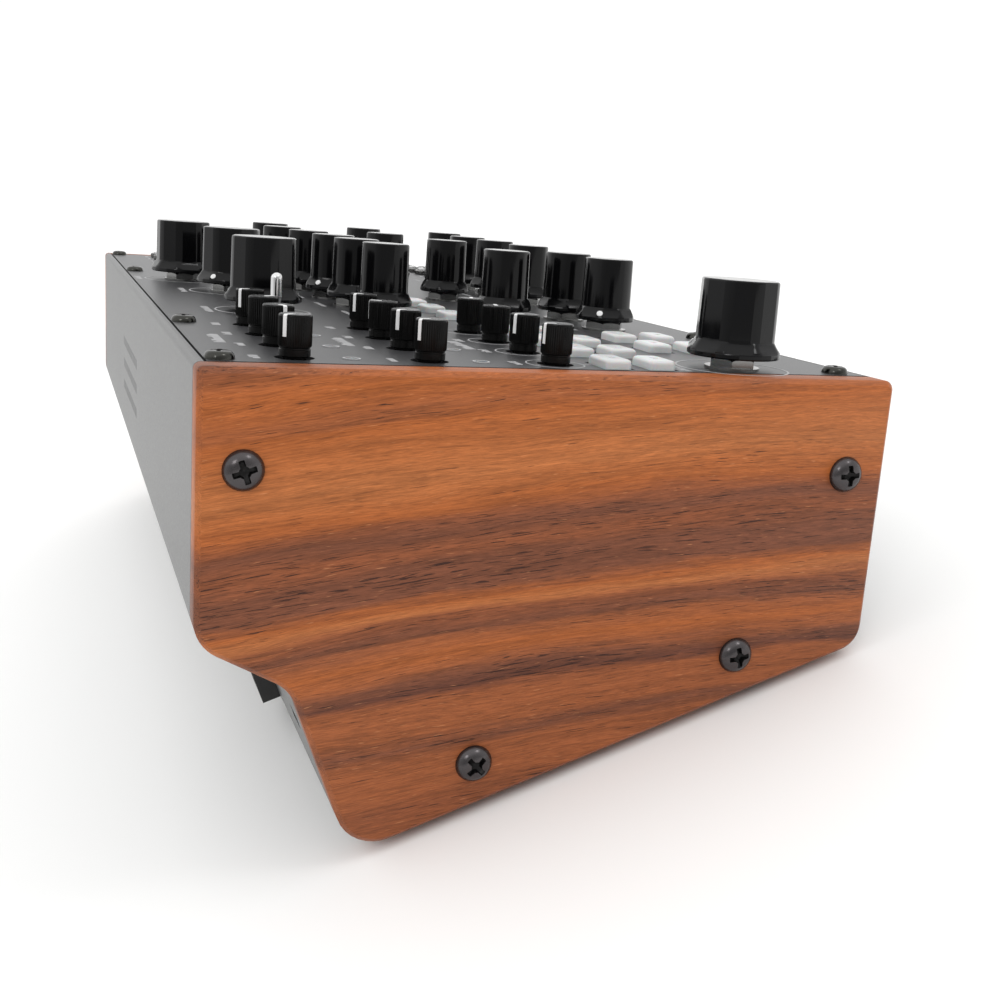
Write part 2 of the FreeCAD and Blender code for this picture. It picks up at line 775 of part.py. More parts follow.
def pot_without_bushing(name, along, down):
    """Small potentiometer of the sequencer, wholly under the panel."""
    top = UNDER_PANEL - size("step_pot_drop")
    place = on_panel(along, down, BOARD_TOP)
    block = box(f"pot_block_{name}", place, size("pot_length"), size("pot_length"), top - BOARD_TOP)
    floor = on_panel(along, down, -size("step_knob_end_depth") - size("shaft_end_gap"))
    hole = cylinder(f"pot_hole_{name}", floor, "step_stem_radius + shaft_clearance", "drill_length")
    return cut(f"pot_{name}", block, [hole])


def build_pot_bodies():
    """Potentiometer bodies of all the turned controls."""
    pots = []
    for name, (along, down), _ in skirted_knobs():
        pots.append(pot_with_bushing(name, along, down))
    for row, column, along, down in step_positions():
        pots.append(pot_without_bushing(f"step_{row}_{column}", along, down))
    return group("pot_bodies", pots)


def build_patch_sockets():
    """Jack sockets for patch leads: body on the board, threaded collar through the panel."""
    sockets = []
    top = UNDER_PANEL - size("socket_gap")
    rise = "socket_collar_rise + panel_thickness + socket_gap"
    for number, (along, down) in enumerate(socket_positions(), start=1):
        place = on_panel(along, down, BOARD_TOP)
        length = size("socket_length")
        block = box(f"socket_block_{number}", place, length, size("socket_width"), top - BOARD_TOP)
        neck = on_panel(along, down, top)
        collar = cylinder(f"socket_collar_{number}", neck, "socket_collar_radius", rise)
        floor = on_panel(along, down, BOARD_TOP + size("socket_floor"))
        hole = cylinder(f"socket_bore_{number}", floor, "socket_bore_radius", "drill_length")
        sockets.append(cut(f"socket_{number}", fuse(f"socket_solid_{number}", [block, collar]), [hole]))
    return group("patch_sockets", sockets)


def build_tact_switches():
    """Momentary switches under the buttons, each with its plunger just under the button."""
    switches = []
    side = size("switch_size")
    rise = "board_depth - switch_size - button_root_depth - button_travel - plunger_gap"
    for number, (along, down) in enumerate(button_positions(), start=1):
        block = box(f"switch_block_{number}", on_panel(along, down, BOARD_TOP), side, side, side)
        top = on_panel(along, down, BOARD_TOP + side)
        plunger = cylinder(f"switch_plunger_{number}", top, "plunger_radius", rise)
        switches.append(fuse(f"switch_{number}", [block, plunger]))
    return group("tact_switches", switches)


def build_indicator_leds():
    """Step lights: round lamps on spacers, flush with the panel."""
    lamps = []
    for number, (along, down) in enumerate(indicator_positions(), start=1):
        place = on_panel(along, down, BOARD_TOP)
        lamps.append(cylinder(f"lamp_{number}", place, "lamp_radius", "board_depth + lamp_rise"))
    return group("indicator_leds", lamps)


def build_board_spacers():
    """Hexagonal posts that hold the board under the panel."""
    posts = []
    for number, (along, down) in enumerate(SPACERS, start=1):
        place = on_panel(along, down, BOARD_TOP)
        posts.append(hexagon(f"spacer_{number}", place, "spacer_across", "board_depth - panel_thickness"))
    return group("board_spacers", posts)


def across_toggle(start):
    """Placement along the toggle's pivot line, its Z pointing the row's +X."""
    along, down = TOGGLE_AT
    lay_down = Placement(Vector(start, 0, 0), Rotation(Vector(0, 1, 0), 90))
    return on_panel(along, down).multiply(lay_down)


def build_toggle_body():
    """Toggle switch body with its bushing, bored for the lever to swing."""
    along, down = TOGGLE_AT
    top = UNDER_PANEL - size("socket_gap")
    block = box("toggle_block", on_panel(along, down, BOARD_TOP), *TOGGLE_BLOCK, top - BOARD_TOP)
    rise = "toggle_bushing_rise + panel_thickness + socket_gap"
    bushing = cylinder("toggle_bushing", on_panel(along, down, top), "toggle_bushing_radius", rise)
    floor = on_panel(along, down, -size("toggle_well_depth"))
    well = cylinder("toggle_well", floor, "toggle_pivot_radius + plunger_gap", "drill_length")
    mouth = doc.addObject("Part::Cone", "toggle_mouth")
    bind(mouth, Radius1="toggle_neck_radius", Radius2="toggle_mouth_radius", Height="toggle_mouth_height")
    mouth.Placement = on_panel(along, down, size("toggle_mouth_start"))
    half = size("toggle_pin_length") / 2 + size("plunger_gap")
    radius = "toggle_pin_radius + shaft_clearance"
    length = "toggle_pin_length + 2 * plunger_gap"
    pin_hole = cylinder("toggle_pin_hole", across_toggle(-half), radius, length)
    return cut("toggle_body", fuse("toggle_solid", [block, bushing]), [well, mouth, pin_hole])


# ---------------------------------------------------------------- moving pieces

def build_skirted_knob(name, along, down, family):
    """Eight-sided knob with a flared skirt, turned and then planed flat, on its own shaft."""
    radius = size(f"{family}_knob_radius")
    skirt = size(f"{family}_skirt_radius")
    bottom = size("knob_bottom")
    rise = bottom + size("skirt_rise")
    waist = rise + size("skirt_flare")
    top = size("knob_top")
    edge = size("knob_edge")
    rim = size("skirt_rim")
    shaft = size("shaft_radius")
    shaft_end = -size("shaft_end_depth")
    body = new_body(name, turned(on_panel(along, down), POINTERS[name] - FACET_TURN))
    profile = new_sketch(body, "XZ_Plane", "profile")
    draw_polygon(profile, [
        (0, shaft_end), (shaft, shaft_end), (shaft, bottom), (skirt - rim, bottom),
        (skirt, bottom + rim), (skirt, rise), (radius, waist),
        (radius, top - edge), (radius - 2 * edge, top), (0, top),
    ])
    revolve(body, profile)
    flat = new_sketch(body, "XZ_Plane", "flat")
    face = radius * math.cos(math.pi / KNOB_SIDES)
    draw_polygon(flat, [(face, waist), (skirt + 1, waist), (skirt + 1, top + 1), (face, top + 1)])
    facet = pocket(body, flat, "large_skirt_radius * 2")
    facet.Midplane = True
    pattern = body.newObject("PartDesign::PolarPattern", f"{name}_facets")
    pattern.Originals = [facet]
    pattern.Axis = (flat, ["V_Axis"])
    pattern.Angle = 360
    pattern.Occurrences = KNOB_SIDES
    body.Tip = pattern
    return body


def build_step_knob(name, along, down, pointer):
    """Small sequencer knob: straight grip above a plain collar, on a thin stem."""
    grip = size("step_knob_radius")
    collar = grip - size("step_collar_inset")
    stem = size("step_stem_radius")
    stem_end = -size("step_knob_end_depth")
    seat = UNDER_PANEL - size("step_seat_depth")
    shoulder = size("step_knob_shoulder")
    top = size("step_knob_top")
    edge = size("step_knob_edge")
    body = new_body(name, turned(on_panel(along, down), pointer))
    profile = new_sketch(body, "XZ_Plane", "profile")
    draw_polygon(profile, [
        (0, stem_end), (stem, stem_end), (stem, seat), (collar, seat),
        (collar, shoulder), (grip, shoulder), (grip, top - edge), (grip - edge, top), (0, top),
    ])
    revolve(body, profile)
    return body


def build_button(name, along, down):
    """Translucent button cap with a retaining flange under the panel and a round dimple on top."""
    body = new_body(name, on_panel(along, down))
    cap = new_sketch(body, "XY_Plane", "cap", Vector(0, 0, -size("button_root_depth")))
    draw_box(cap, (0, 0), size("button_length"), size("button_width"))
    pad(body, cap, "button_root_depth + button_rise")
    flange = new_sketch(body, "XY_Plane", "flange", Vector(0, 0, -size("button_root_depth")))
    rim = 2 * size("button_flange")
    draw_box(flange, (0, 0), size("button_length"), size("button_width") + rim)
    pad(body, flange, "button_flange_thickness")
    dimple = new_sketch(body, "XY_Plane", "dimple", Vector(0, 0, size("button_rise")))
    draw_circles(dimple, [(0, 0)], "button_dimple_radius")
    pocket(body, dimple, "button_dimple_depth")
    return body


def build_toggle_lever():
    """Bat lever of the toggle switch, hung on a cross pin inside the bushing."""
    along, down = TOGGLE_AT
    body = new_body("toggle_bat", on_panel(along, down))
    profile = new_sketch(body, "XZ_Plane", "profile")
    ball = size("toggle_pivot_radius")
    neck = size("toggle_neck_radius")
    tip = size("toggle_tip_radius")
    top = size("toggle_height")
    neck_end = size("toggle_neck_end")
    swell_end = size("toggle_swell_end")
    ball_top = math.sqrt(ball ** 2 - neck ** 2)
    profile.addGeometry(Part.Arc(Vector(0, -ball, 0), Vector(ball, 0, 0), Vector(neck, ball_top, 0)), False)
    profile.addGeometry(Part.LineSegment(Vector(neck, ball_top, 0), Vector(neck, neck_end, 0)), False)
    profile.addGeometry(Part.LineSegment(Vector(neck, neck_end, 0), Vector(tip, swell_end, 0)), False)
    profile.addGeometry(Part.LineSegment(Vector(tip, swell_end, 0), Vector(tip, top - tip, 0)), False)
    lean = math.sqrt(0.5) * tip
    crown = Vector(lean, top - tip + lean, 0)
    profile.addGeometry(Part.Arc(Vector(tip, top - tip, 0), crown, Vector(0, top, 0)), False)
    profile.addGeometry(Part.LineSegment(Vector(0, top, 0), Vector(0, -ball, 0)), False)
    revolve(body, profile)
    start = across_toggle(-size("toggle_pin_length") / 2)
    pin = cylinder("toggle_pin", start, "toggle_pin_radius", "toggle_pin_length")
    return fuse("toggle_lever", [body, pin])


# ---------------------------------------------------------------- assembly

parts = {
    "left_end_cheek": build_cheek("left_end_cheek", -HALF_LENGTH, 1),
    "right_end_cheek": build_cheek("right_end_cheek", HALF_LENGTH, -1),
    "case_shell": build_case(),
    "control_panel": build_panel(),
    "cheek_screws": build_cheek_screws(),
    "panel_screws": build_panel_screws(),
    "rubber_feet": build_feet(),
    "power_inlet": build_power_inlet(),
    "panel_nuts": build_panel_nuts(),
    "control_board": build_control_board(),
    "pot_bodies": build_pot_bodies(),
    "patch_sockets": build_patch_sockets(),
    "tact_switches": build_tact_switches(),
    "indicator_leds": build_indicator_leds(),
    "board_spacers": build_board_spacers(),
    "toggle_body": build_toggle_body(),
    "toggle_lever": build_toggle_lever(),
}
for knob_name, (knob_along, knob_down), knob_family in skirted_knobs():
    parts[knob_name] = build_skirted_knob(knob_name, knob_along, knob_down, knob_family)
for knob_row, knob_column, knob_along, knob_down in step_positions():
    knob_name = f"step_knob_{knob_row}_{knob_column}"
    knob_pointer = STEP_POINTERS[knob_row - 1][knob_column - 1]
    parts[knob_name] = build_step_knob(knob_name, knob_along, knob_down, knob_pointer)
for button_row, button_column, button_along, button_down in rhythm_positions():
    button_name = f"rhythm_button_{button_row}_{button_column}"
    parts[button_name] = build_button(button_name, button_along, button_down)
for pair_name, pair_along in TRANSPORT_PAIRS.items():
    caps = []
    for number, (cap_along, cap_down) in enumerate(transport_positions(pair_along), start=1):
        caps.append(build_button(f"{pair_name}_{number}", cap_along, cap_down))
    parts[pair_name] = group(pair_name, caps)
assign_caps = []
for number, (cap_along, cap_down) in enumerate(assign_positions(), start=1):
    assign_caps.append(build_button(f"assign_button_{number}", cap_along, cap_down))
parts["assign_buttons"] = group("assign_buttons", assign_caps)

doc.recompute()
for item in doc.Objects:
    if "Invalid" in item.State or "Error" in item.State:
        raise RuntimeError(f"{item.Label} did not compute: {item.State}")

os.makedirs("parts", exist_ok=True)
low = Vector(1e9, 1e9, 1e9)
high = Vector(-1e9, -1e9, -1e9)
for name, item in parts.items():
    item.Label = name
    shape = item.Shape
    if shape.isNull() or not shape.isValid():
        raise RuntimeError(f"{name} has no valid shape")
    shape.exportStep(f"parts/{name}.step")
    box_of_part = shape.BoundBox
    low = Vector(min(low.x, box_of_part.XMin), min(low.y, box_of_part.YMin), min(low.z, box_of_part.ZMin))
    high = Vector(max(high.x, box_of_part.XMax), max(high.y, box_of_part.YMax), max(high.z, box_of_part.ZMax))
    print(f"{name:28s} solids {len(shape.Solids):3d}  volume {shape.Volume:10.1f}")
print("lowest corner", low, "highest corner", high, "nodes", len(parts))
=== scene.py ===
"""Looks of the desktop synthesizer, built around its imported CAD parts.

Shapes are written in millimetres in the panel's own frame: x to the player's right, y towards
the rear edge and z off the panel. They are turned into metres when a mesh is made.
"""

import json
import math
import random

import bmesh
import bpy
from mathutils import Matrix, Vector


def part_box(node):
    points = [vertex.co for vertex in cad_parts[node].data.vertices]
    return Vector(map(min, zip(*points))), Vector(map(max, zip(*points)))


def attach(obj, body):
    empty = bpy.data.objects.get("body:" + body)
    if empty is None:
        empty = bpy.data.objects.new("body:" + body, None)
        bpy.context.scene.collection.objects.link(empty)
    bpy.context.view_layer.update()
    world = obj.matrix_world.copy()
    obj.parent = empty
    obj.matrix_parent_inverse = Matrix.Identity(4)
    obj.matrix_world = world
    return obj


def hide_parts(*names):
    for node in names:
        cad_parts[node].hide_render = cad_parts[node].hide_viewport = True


MM = 0.001

# ---------------------------------------------------------------- sizes

# Side outline of a cheek as (down from the rear edge, height off the panel, corner radius).
CHEEK_OUTLINE = [
    (0.0, 0.0, 1.2),
    (133.1, 0.0, 2.0),
    (133.2, -54.0, 5.4),
    (28.6, -89.202, 8.0),
    (16.5, -56.2, 8.0),
    (0.0, -47.3, 7.5),
]
CHEEK_EDGE = 1.0

KNOB_TOP = 17.3
KNOB_BOTTOM = 2.35
KNOB_SIZES = {"large": (8.05, 9.1), "medium": (6.3, 7.15)}
KNOB_SIDES = 8
KNOB_RIDGE_CUT = 0.36
KNOB_RIDGE_ANGLE = 2.7
SHAFT_RADIUS = 3.0
SHAFT_DEPTH = 8.0
STEP_KNOB_RADIUS = 2.95
STEP_KNOB_TOP = 7.6
STEP_KNOB_FLUTES = 44

WASHER_HEIGHT = 0.4
NUT_ACROSS = 9.6
BUSH_HOLE = 3.56
TOGGLE_HOLE = 2.51
SOCKET_HOLE = 3.06

# Head radius and height, reach of the recess's arms, and how square the head's shoulder is.
CHEEK_SCREW = (3.55, 2.1, 2.1, 2.7)
PANEL_SCREW = (2.6, 1.4, 1.5, 6.0)
CHEEK_SCREW_TURNS = [5.0, 10.0, 45.0, 18.0, 30.0, 72.0, 12.0, 55.0]

# A push button's cap, and the window in the middle of its top.
CAP_LENGTH = 9.4
CAP_WIDTH = 5.6
CAP_CORNER = 1.5
WINDOW_RADIUS = 1.3

# Printing: its thickness, the height of small labels and the rings round controls, and the pale
# rings round lamps, which are painted highlight on the lamps' rims.
PRINT_THICKNESS = 0.04
LABEL_HEIGHT = 1.3
LINE_WIDTH = 0.3
# Inner and outer radius of the pale ring round a lamp: painted highlight on its rim.
LAMP_RIM_HIGHLIGHT = (1.28, 1.62)
STEP_RING = 5.5
LARGE_RING = 11.0

# ---------------------------------------------------------------- the frame

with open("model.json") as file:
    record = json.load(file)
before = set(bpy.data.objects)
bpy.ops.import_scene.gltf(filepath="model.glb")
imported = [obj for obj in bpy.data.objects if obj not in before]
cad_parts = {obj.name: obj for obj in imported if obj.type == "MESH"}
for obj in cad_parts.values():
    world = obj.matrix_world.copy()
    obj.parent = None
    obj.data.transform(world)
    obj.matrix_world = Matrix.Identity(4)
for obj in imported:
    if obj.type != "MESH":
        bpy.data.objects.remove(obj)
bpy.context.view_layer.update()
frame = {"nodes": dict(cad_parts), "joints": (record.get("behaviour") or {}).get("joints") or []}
nodes = frame["nodes"]
joints = {joint["child"]: joint for joint in frame["joints"]}


def panel_frame():
    """The panel's own frame: its tilt, with the cheeks' top rear edge at y 0 and z 0."""
    axis = Vector(joints["tempo_knob"]["axis"])
    turn = Matrix.Rotation(math.atan2(-axis.y, axis.z), 4, "X")
    points = [turn.inverted() @ v.co for v in nodes["left_end_cheek"].data.vertices]
    rear = max(point.y for point in points)
    top = max(point.z for point in points)
    return turn @ Matrix.Translation((0.0, rear, top))


PANEL = panel_frame()
IN_PLACE = Matrix.Identity(4)
LEFT_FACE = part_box("left_end_cheek")[0].x / MM
RIGHT_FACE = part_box("right_end_cheek")[1].x / MM


def solids_of(node):
    """(lowest, highest) corner of each solid of a CAD node, in the panel's frame, front to rear."""
    mesh = bmesh.new()
    mesh.from_mesh(nodes[node].data)
    mesh.transform(PANEL.inverted())
    bmesh.ops.remove_doubles(mesh, verts=mesh.verts, dist=1e-6)
    mesh.verts.index_update()
    mesh.verts.ensure_lookup_table()
    seen = set()
    found = []
    for start in mesh.verts:
        if start.index in seen:
            continue
        seen.add(start.index)
        waiting = [start]
        points = []
        while waiting:
            vertex = waiting.pop()
            points.append(vertex.co / MM)
            for edge in vertex.link_edges:
                other = edge.other_vert(vertex)
                if other.index not in seen:
                    seen.add(other.index)
                    waiting.append(other)
        low = Vector(min(p[k] for p in points) for k in range(3))
        high = Vector(max(p[k] for p in points) for k in range(3))
        found.append((low, high))
    mesh.free()
    return sorted(found, key=lambda box: (round(box[0].x), round(box[0].y, 1)))


def place_of(child):
    """Where a turning piece's axis meets the panel, in the panel's frame."""
    return PANEL.inverted() @ Vector(joints[child]["pos_m"]) / MM


def pointer_of(child):
    """A knob's setting at rest, in degrees clockwise from the rear, midway in its joint's range."""
    return sum(joints[child]["range_deg"]) / 2


# ---------------------------------------------------------------- shapes


class Shape:
    """Points and faces of one piece in millimetres, with the number of each face's material."""

    def __init__(self):
        self.points = []
        self.faces = []
        self.paints = []

    def loop(self, points):
        """Adds points and returns their numbers."""
        start = len(self.points)
        self.points.extend(points)
        return list(range(start, len(self.points)))

    def face(self, corners, paint=0):
        """Adds one face."""
        self.faces.append(corners)
        self.paints.append(paint)

    def loft(self, rings, paint=0, last_rings_paint=None, last_rings=0):
        """Skins rings of equally many points and closes both ends."""
        loops = [self.loop(points) for points in rings]
        turning_point = len(loops) - 1 - last_rings
        for k, (lower, upper) in enumerate(zip(loops, loops[1:])):
            shade = last_rings_paint if last_rings and k >= turning_point else paint
            for i in range(len(lower)):
                j = (i + 1) % len(lower)
                self.face([lower[i], lower[j], upper[j], upper[i]], shade)
        self.face(list(reversed(loops[0])), paint)
        self.face(loops[-1], last_rings_paint if last_rings else paint)

    def hoop(self, rings):
        """Skins rings of equally many points and joins the last to the first."""
        loops = [self.loop(points) for points in rings]
        for lower, upper in zip(loops, loops[1:] + loops[:1]):
            for i in range(len(lower)):
                j = (i + 1) % len(lower)
                self.face([lower[i], lower[j], upper[j], upper[i]])

    def box(self, low, high):
        """Adds a closed block."""
        (x0, y0, z0), (x1, y1, z1) = low, high
        corners = [(x0, y0), (x1, y0), (x1, y1), (x0, y1)]
        self.loft([[(x, y, z) for x, y in corners] for z in (z0, z1)])

    def tube(self, centre, inner, outer, low, high, steps=48):
        """Adds a flat ring round a centre, open in its middle."""
        rings = []
        for radius, z in [(outer, low), (outer, high), (inner, high), (inner, low)]:
            rings.append([(centre[0] + x, centre[1] + y, z) for x, y in circle(radius, steps)])
        self.hoop(rings)

    def add(self, other, across, along):
        """Adds another shape, moved over the panel."""
        start = len(self.points)
        self.points += [(x + across, y + along, z) for x, y, z in other.points]
        self.faces += [[corner + start for corner in face] for face in other.faces]
        self.paints += other.paints

    def mesh(self, name, sharp=30.0, place=None):
        """The Blender mesh, in metres, smooth but for edges sharper than an angle in degrees."""
        mesh = bpy.data.meshes.new(name)
        mesh.from_pydata([Vector(p) * MM for p in self.points], [], self.faces)
        if place:
            mesh.transform(place)
        mesh.polygons.foreach_set("material_index", self.paints)
        mesh.polygons.foreach_set("use_smooth", [True] * len(self.faces))
        mesh.set_sharp_from_angle(angle=math.radians(sharp))
        mesh.update()
        return mesh


def circle(radius, steps):
    """Points on a circle, anticlockwise from the rear."""
    angles = [2 * math.pi * i / steps for i in range(steps)]
    return [(-radius * math.sin(a), radius * math.cos(a)) for a in angles]


def ring(angles, radius, height):
    """A ring of points; radius and height are numbers, or functions of the angle and the radius."""
    points = []
    for angle in angles:
        r = radius(angle) if callable(radius) else radius
        z = height(r) if callable(height) else height
        points.append((-r * math.sin(angle), r * math.cos(angle), z))
    return points


def sided(sides, apothem, corner):
    """Radius, by angle, of a regular outline with a ridge at 0 and its ridges cut to a circle."""
    step = 2 * math.pi / sides

    def radius(angle):
        return min(apothem / math.cos(angle % step - step / 2), corner)

    return radius


def ridge_angles(sides, ridge):
    """Angles round a regular outline, close together at its ridges, where ridge is in degrees."""
    step = 360.0 / sides
    near = [ridge, 2.0 * ridge, 2.8 * ridge]
    offsets = [0.0] + near + [0.5 * step] + [step - offset for offset in reversed(near)]
    return [math.radians(side * step + offset) for side in range(sides) for offset in offsets]


def even_angles(steps):
    """Angles of an even ring."""
    return [2 * math.pi * i / steps for i in range(steps)]


def inset(corners, depth):
    """The outline's corners with every side moved inwards, their radii following."""
    moved = []
    count = len(corners)
    for i, (x, y, radius) in enumerate(corners):
        before = corners[i - 1]
        after = corners[(i + 1) % count]
        into = Vector((x - before[0], y - before[1])).normalized()
        out = Vector((after[0] - x, after[1] - y)).normalized()
        turn = into.cross(out)
        inward_in = Vector((into.y, -into.x))
        inward_out = Vector((out.y, -out.x))
        shift = (inward_in + inward_out) / (1 + inward_in.dot(inward_out)) * depth
        rounded = radius - depth if turn < 0 else radius + depth
        moved.append((x + shift.x, y + shift.y, max(rounded, 0.2)))
    return moved


def rounded_outline(corners, steps=8):
    """Points round an outline whose corners are arcs."""
    points = []
    count = len(corners)
    for i, (x, y, radius) in enumerate(corners):
        corner = Vector((x, y))
        before = (Vector(corners[i - 1][:2]) - corner).normalized()
        after = (Vector(corners[(i + 1) % count][:2]) - corner).normalized()
        half = before.angle(after) / 2
        middle = corner + (before + after).normalized() * (radius / math.sin(half))
        start = corner + before * (radius / math.tan(half)) - middle
        end = corner + after * (radius / math.tan(half)) - middle
        sweep = start.angle_signed(end)
        for k in range(steps + 1):
            angle = -sweep * k / steps
            turned = Matrix.Rotation(angle, 2) @ start
            points.append(tuple(middle + turned))
    return points


def cheek_shape(side):
    """A cheek board with softened edges on its outer face; side is -1 at the left, else 1."""
    outer = LEFT_FACE if side < 0 else RIGHT_FACE
    thickness = (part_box("left_end_cheek")[1].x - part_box("left_end_cheek")[0].x) / MM
    soft = 0.08
    profile = [(thickness, 0.25), (thickness - 0.25, 0.0), (CHEEK_EDGE + soft, 0.0)]
    profile += [(CHEEK_EDGE - soft, soft), (soft, CHEEK_EDGE - soft), (0.0, CHEEK_EDGE + soft)]
    shape = Shape()
    rings = []
    for inwards, depth in profile:
        outline = rounded_outline(inset(CHEEK_OUTLINE, depth))
        rings.append([(outer - side * inwards, -down, height) for down, height in outline])
    if side > 0:
        rings = [list(reversed(points)) for points in rings]
    shape.loft(rings)
    return shape


def faceted_knob(body_radius, skirt_radius):
    """An eight-sided knob with a flared skirt, a white dot at its pointer and its shaft."""
    apothem = body_radius * math.cos(math.pi / KNOB_SIDES)
    corner = body_radius - KNOB_RIDGE_CUT
    angles = ridge_angles(KNOB_SIDES, KNOB_RIDGE_ANGLE)

    def body(depth):
        return sided(KNOB_SIDES, apothem - depth, corner - depth)

    def waist(share):
        reach = apothem + (skirt_radius - 0.3 - apothem) * (1 - share) ** 1.3
        return reach, min(reach + 0.45, skirt_radius - 0.05 - 0.6 * share)

    rings = [
        ring(angles, SHAFT_RADIUS, -SHAFT_DEPTH),
        ring(angles, SHAFT_RADIUS, KNOB_BOTTOM + 0.6),
        ring(angles, SHAFT_RADIUS + 0.6, KNOB_BOTTOM + 0.6),
        ring(angles, SHAFT_RADIUS + 0.8, KNOB_BOTTOM),
        ring(angles, skirt_radius - 0.9, KNOB_BOTTOM),
        ring(angles, skirt_radius - 0.25, KNOB_BOTTOM + 0.08),
        ring(angles, skirt_radius, KNOB_BOTTOM + 0.35),
        ring(angles, skirt_radius, KNOB_BOTTOM + 1.0),
        ring(angles, skirt_radius - 0.06, KNOB_BOTTOM + 1.18),
    ]
    flare_bottom = KNOB_BOTTOM + 1.3
    flare_height = 2.05
    flare_steps = 6
    for k in range(flare_steps):
        share = k / flare_steps
        outline = sided(KNOB_SIDES, *waist(share))
        rings.append(ring(angles, outline, flare_bottom + flare_height * share))
    for above_flare in (0.0, 0.4):
        rings.append(ring(angles, body(-0.06), flare_bottom + flare_height + above_flare))
    for depth, drop in [(0.1, 0.5), (0.15, 0.24), (0.29, 0.07), (0.5, 0.0), (1.3, 0.0)]:
        rings.append(ring(angles, body(depth), KNOB_TOP - drop))
    rings.append(ring(angles, 0.5, KNOB_TOP))
    shape = Shape()
    shape.loft(rings)
    share = 0.35
    add_dot(shape, waist(share)[1], flare_bottom + flare_height * share)
    return shape


def add_dot(shape, reach, height):
    """The white dot on the skirt, lying on the flare at the pointer's ridge."""
    centre = Vector((0.0, reach, height))
    outwards = Vector((0.0, 0.81, 0.58)).normalized()
    across = Vector((1.0, 0.0, 0.0))
    along = outwards.cross(across)
    rings = []
    for radius, rise in [(0.7, -0.3), (0.75, 0.1), (0.68, 0.17), (0.3, 0.2)]:
        points = []
        for x, y in circle(radius, 20):
            points.append(centre + across * -x + along * y + outwards * rise)
        rings.append([tuple(p) for p in points])
    shape.loft([list(reversed(points)) for points in rings], paint=1)


def step_knob():
    """A small fluted knob on a smooth collar, with a white line over its edge."""
    steps = STEP_KNOB_FLUTES * 4
    angles = even_angles(steps)
    radius = STEP_KNOB_RADIUS
    grip_low = 2.0
    grip_high = STEP_KNOB_TOP - 0.35

    def fluted(angle):
        return radius - 0.07 + 0.07 * math.cos(STEP_KNOB_FLUTES * angle)

    rings = [
        ring(angles, 2.0, -4.0),
        ring(angles, 2.0, 0.3),
        ring(angles, radius - 0.35, 0.3),
        ring(angles, radius - 0.18, 0.45),
        ring(angles, radius - 0.18, 1.55),
        ring(angles, radius - 0.3, 1.65),
        ring(angles, radius - 0.3, 1.85),
        ring(angles, radius - 0.12, grip_low),
        ring(angles, fluted, grip_low + 0.25),
        ring(angles, fluted, grip_high - 0.15),
        ring(angles, radius - 0.05, grip_high),
        ring(angles, radius - 0.07, STEP_KNOB_TOP - 0.22),
        ring(angles, radius - 0.17, STEP_KNOB_TOP - 0.06),
        ring(angles, radius - 0.33, STEP_KNOB_TOP),
        ring(angles, radius - 0.62, STEP_KNOB_TOP - 0.03),
        ring(angles, 0.3, STEP_KNOB_TOP - 0.05),
    ]
    shape = Shape()
    shape.loft(rings)
    add_pointer_line(shape)
    return shape


def add_pointer_line(shape):
    """The white line of a step knob, over its top and down its side."""
    radius = STEP_KNOB_RADIUS
    top = STEP_KNOB_TOP
    outside = [
        (0.5, top),
        (radius - 0.36, top + 0.05),
        (radius - 0.13, top - 0.03),
        (radius + 0.02, top - 0.2),
        (radius + 0.04, top - 0.5),
        (radius + 0.04, top - 3.8),
    ]
    inside = [(reach - 0.2, height - 0.2) for reach, height in reversed(outside)]
    inside[0] = (radius - 0.3, top - 3.8)
    half = 0.37
    section = outside + inside
    left = [(-half, reach, height) for reach, height in section]
    right = [(half, reach, height) for reach, height in section]
    shape.loft([left, right], paint=1)


def rounded_rectangle(length, width, radius, steps=6):
    """Points round a rectangle with round corners, anticlockwise from its rear left corner."""
    points = []
    x = length / 2 - radius
    y = width / 2 - radius
    for centre_x, centre_y, start in [(-x, y, 90), (-x, -y, 180), (x, -y, 270), (x, y, 0)]:
        for k in range(steps + 1):
            angle = math.radians(start + 90 * k / steps)
            across = centre_x + radius * math.cos(angle)
            points.append((across, centre_y + radius * math.sin(angle)))
    return points


def button_cap(length, width, root, top):
    """A milky cap with soft edges and a round window in a shallow dish."""
    profile = [(0.0, root)]
    for depth, drop in [(0.0, 0.75), (0.06, 0.45), (0.24, 0.18), (0.55, 0.03), (0.9, 0.0)]:
        profile.append((depth, top - drop))
    rings = []
    for depth, height in profile:
        corner = CAP_CORNER - 0.6 * depth
        outline = rounded_rectangle(length - 2 * depth, width - 2 * depth, corner)
        rings.append([(x, y, height) for x, y in outline])
    outline = rings[-1]
    window = [(WINDOW_RADIUS, top), (1.12, top - 0.22), (0.9, top - 0.25), (0.2, top - 0.2)]
    for radius, height in window:
        points = []
        for x, y, z in outline:
            reach = math.hypot(x, y)
            points.append((x / reach * radius, y / reach * radius, height))
        rings.append(points)
    shape = Shape()
    shape.loft(rings, paint=0, last_rings_paint=1, last_rings=2)
    return shape


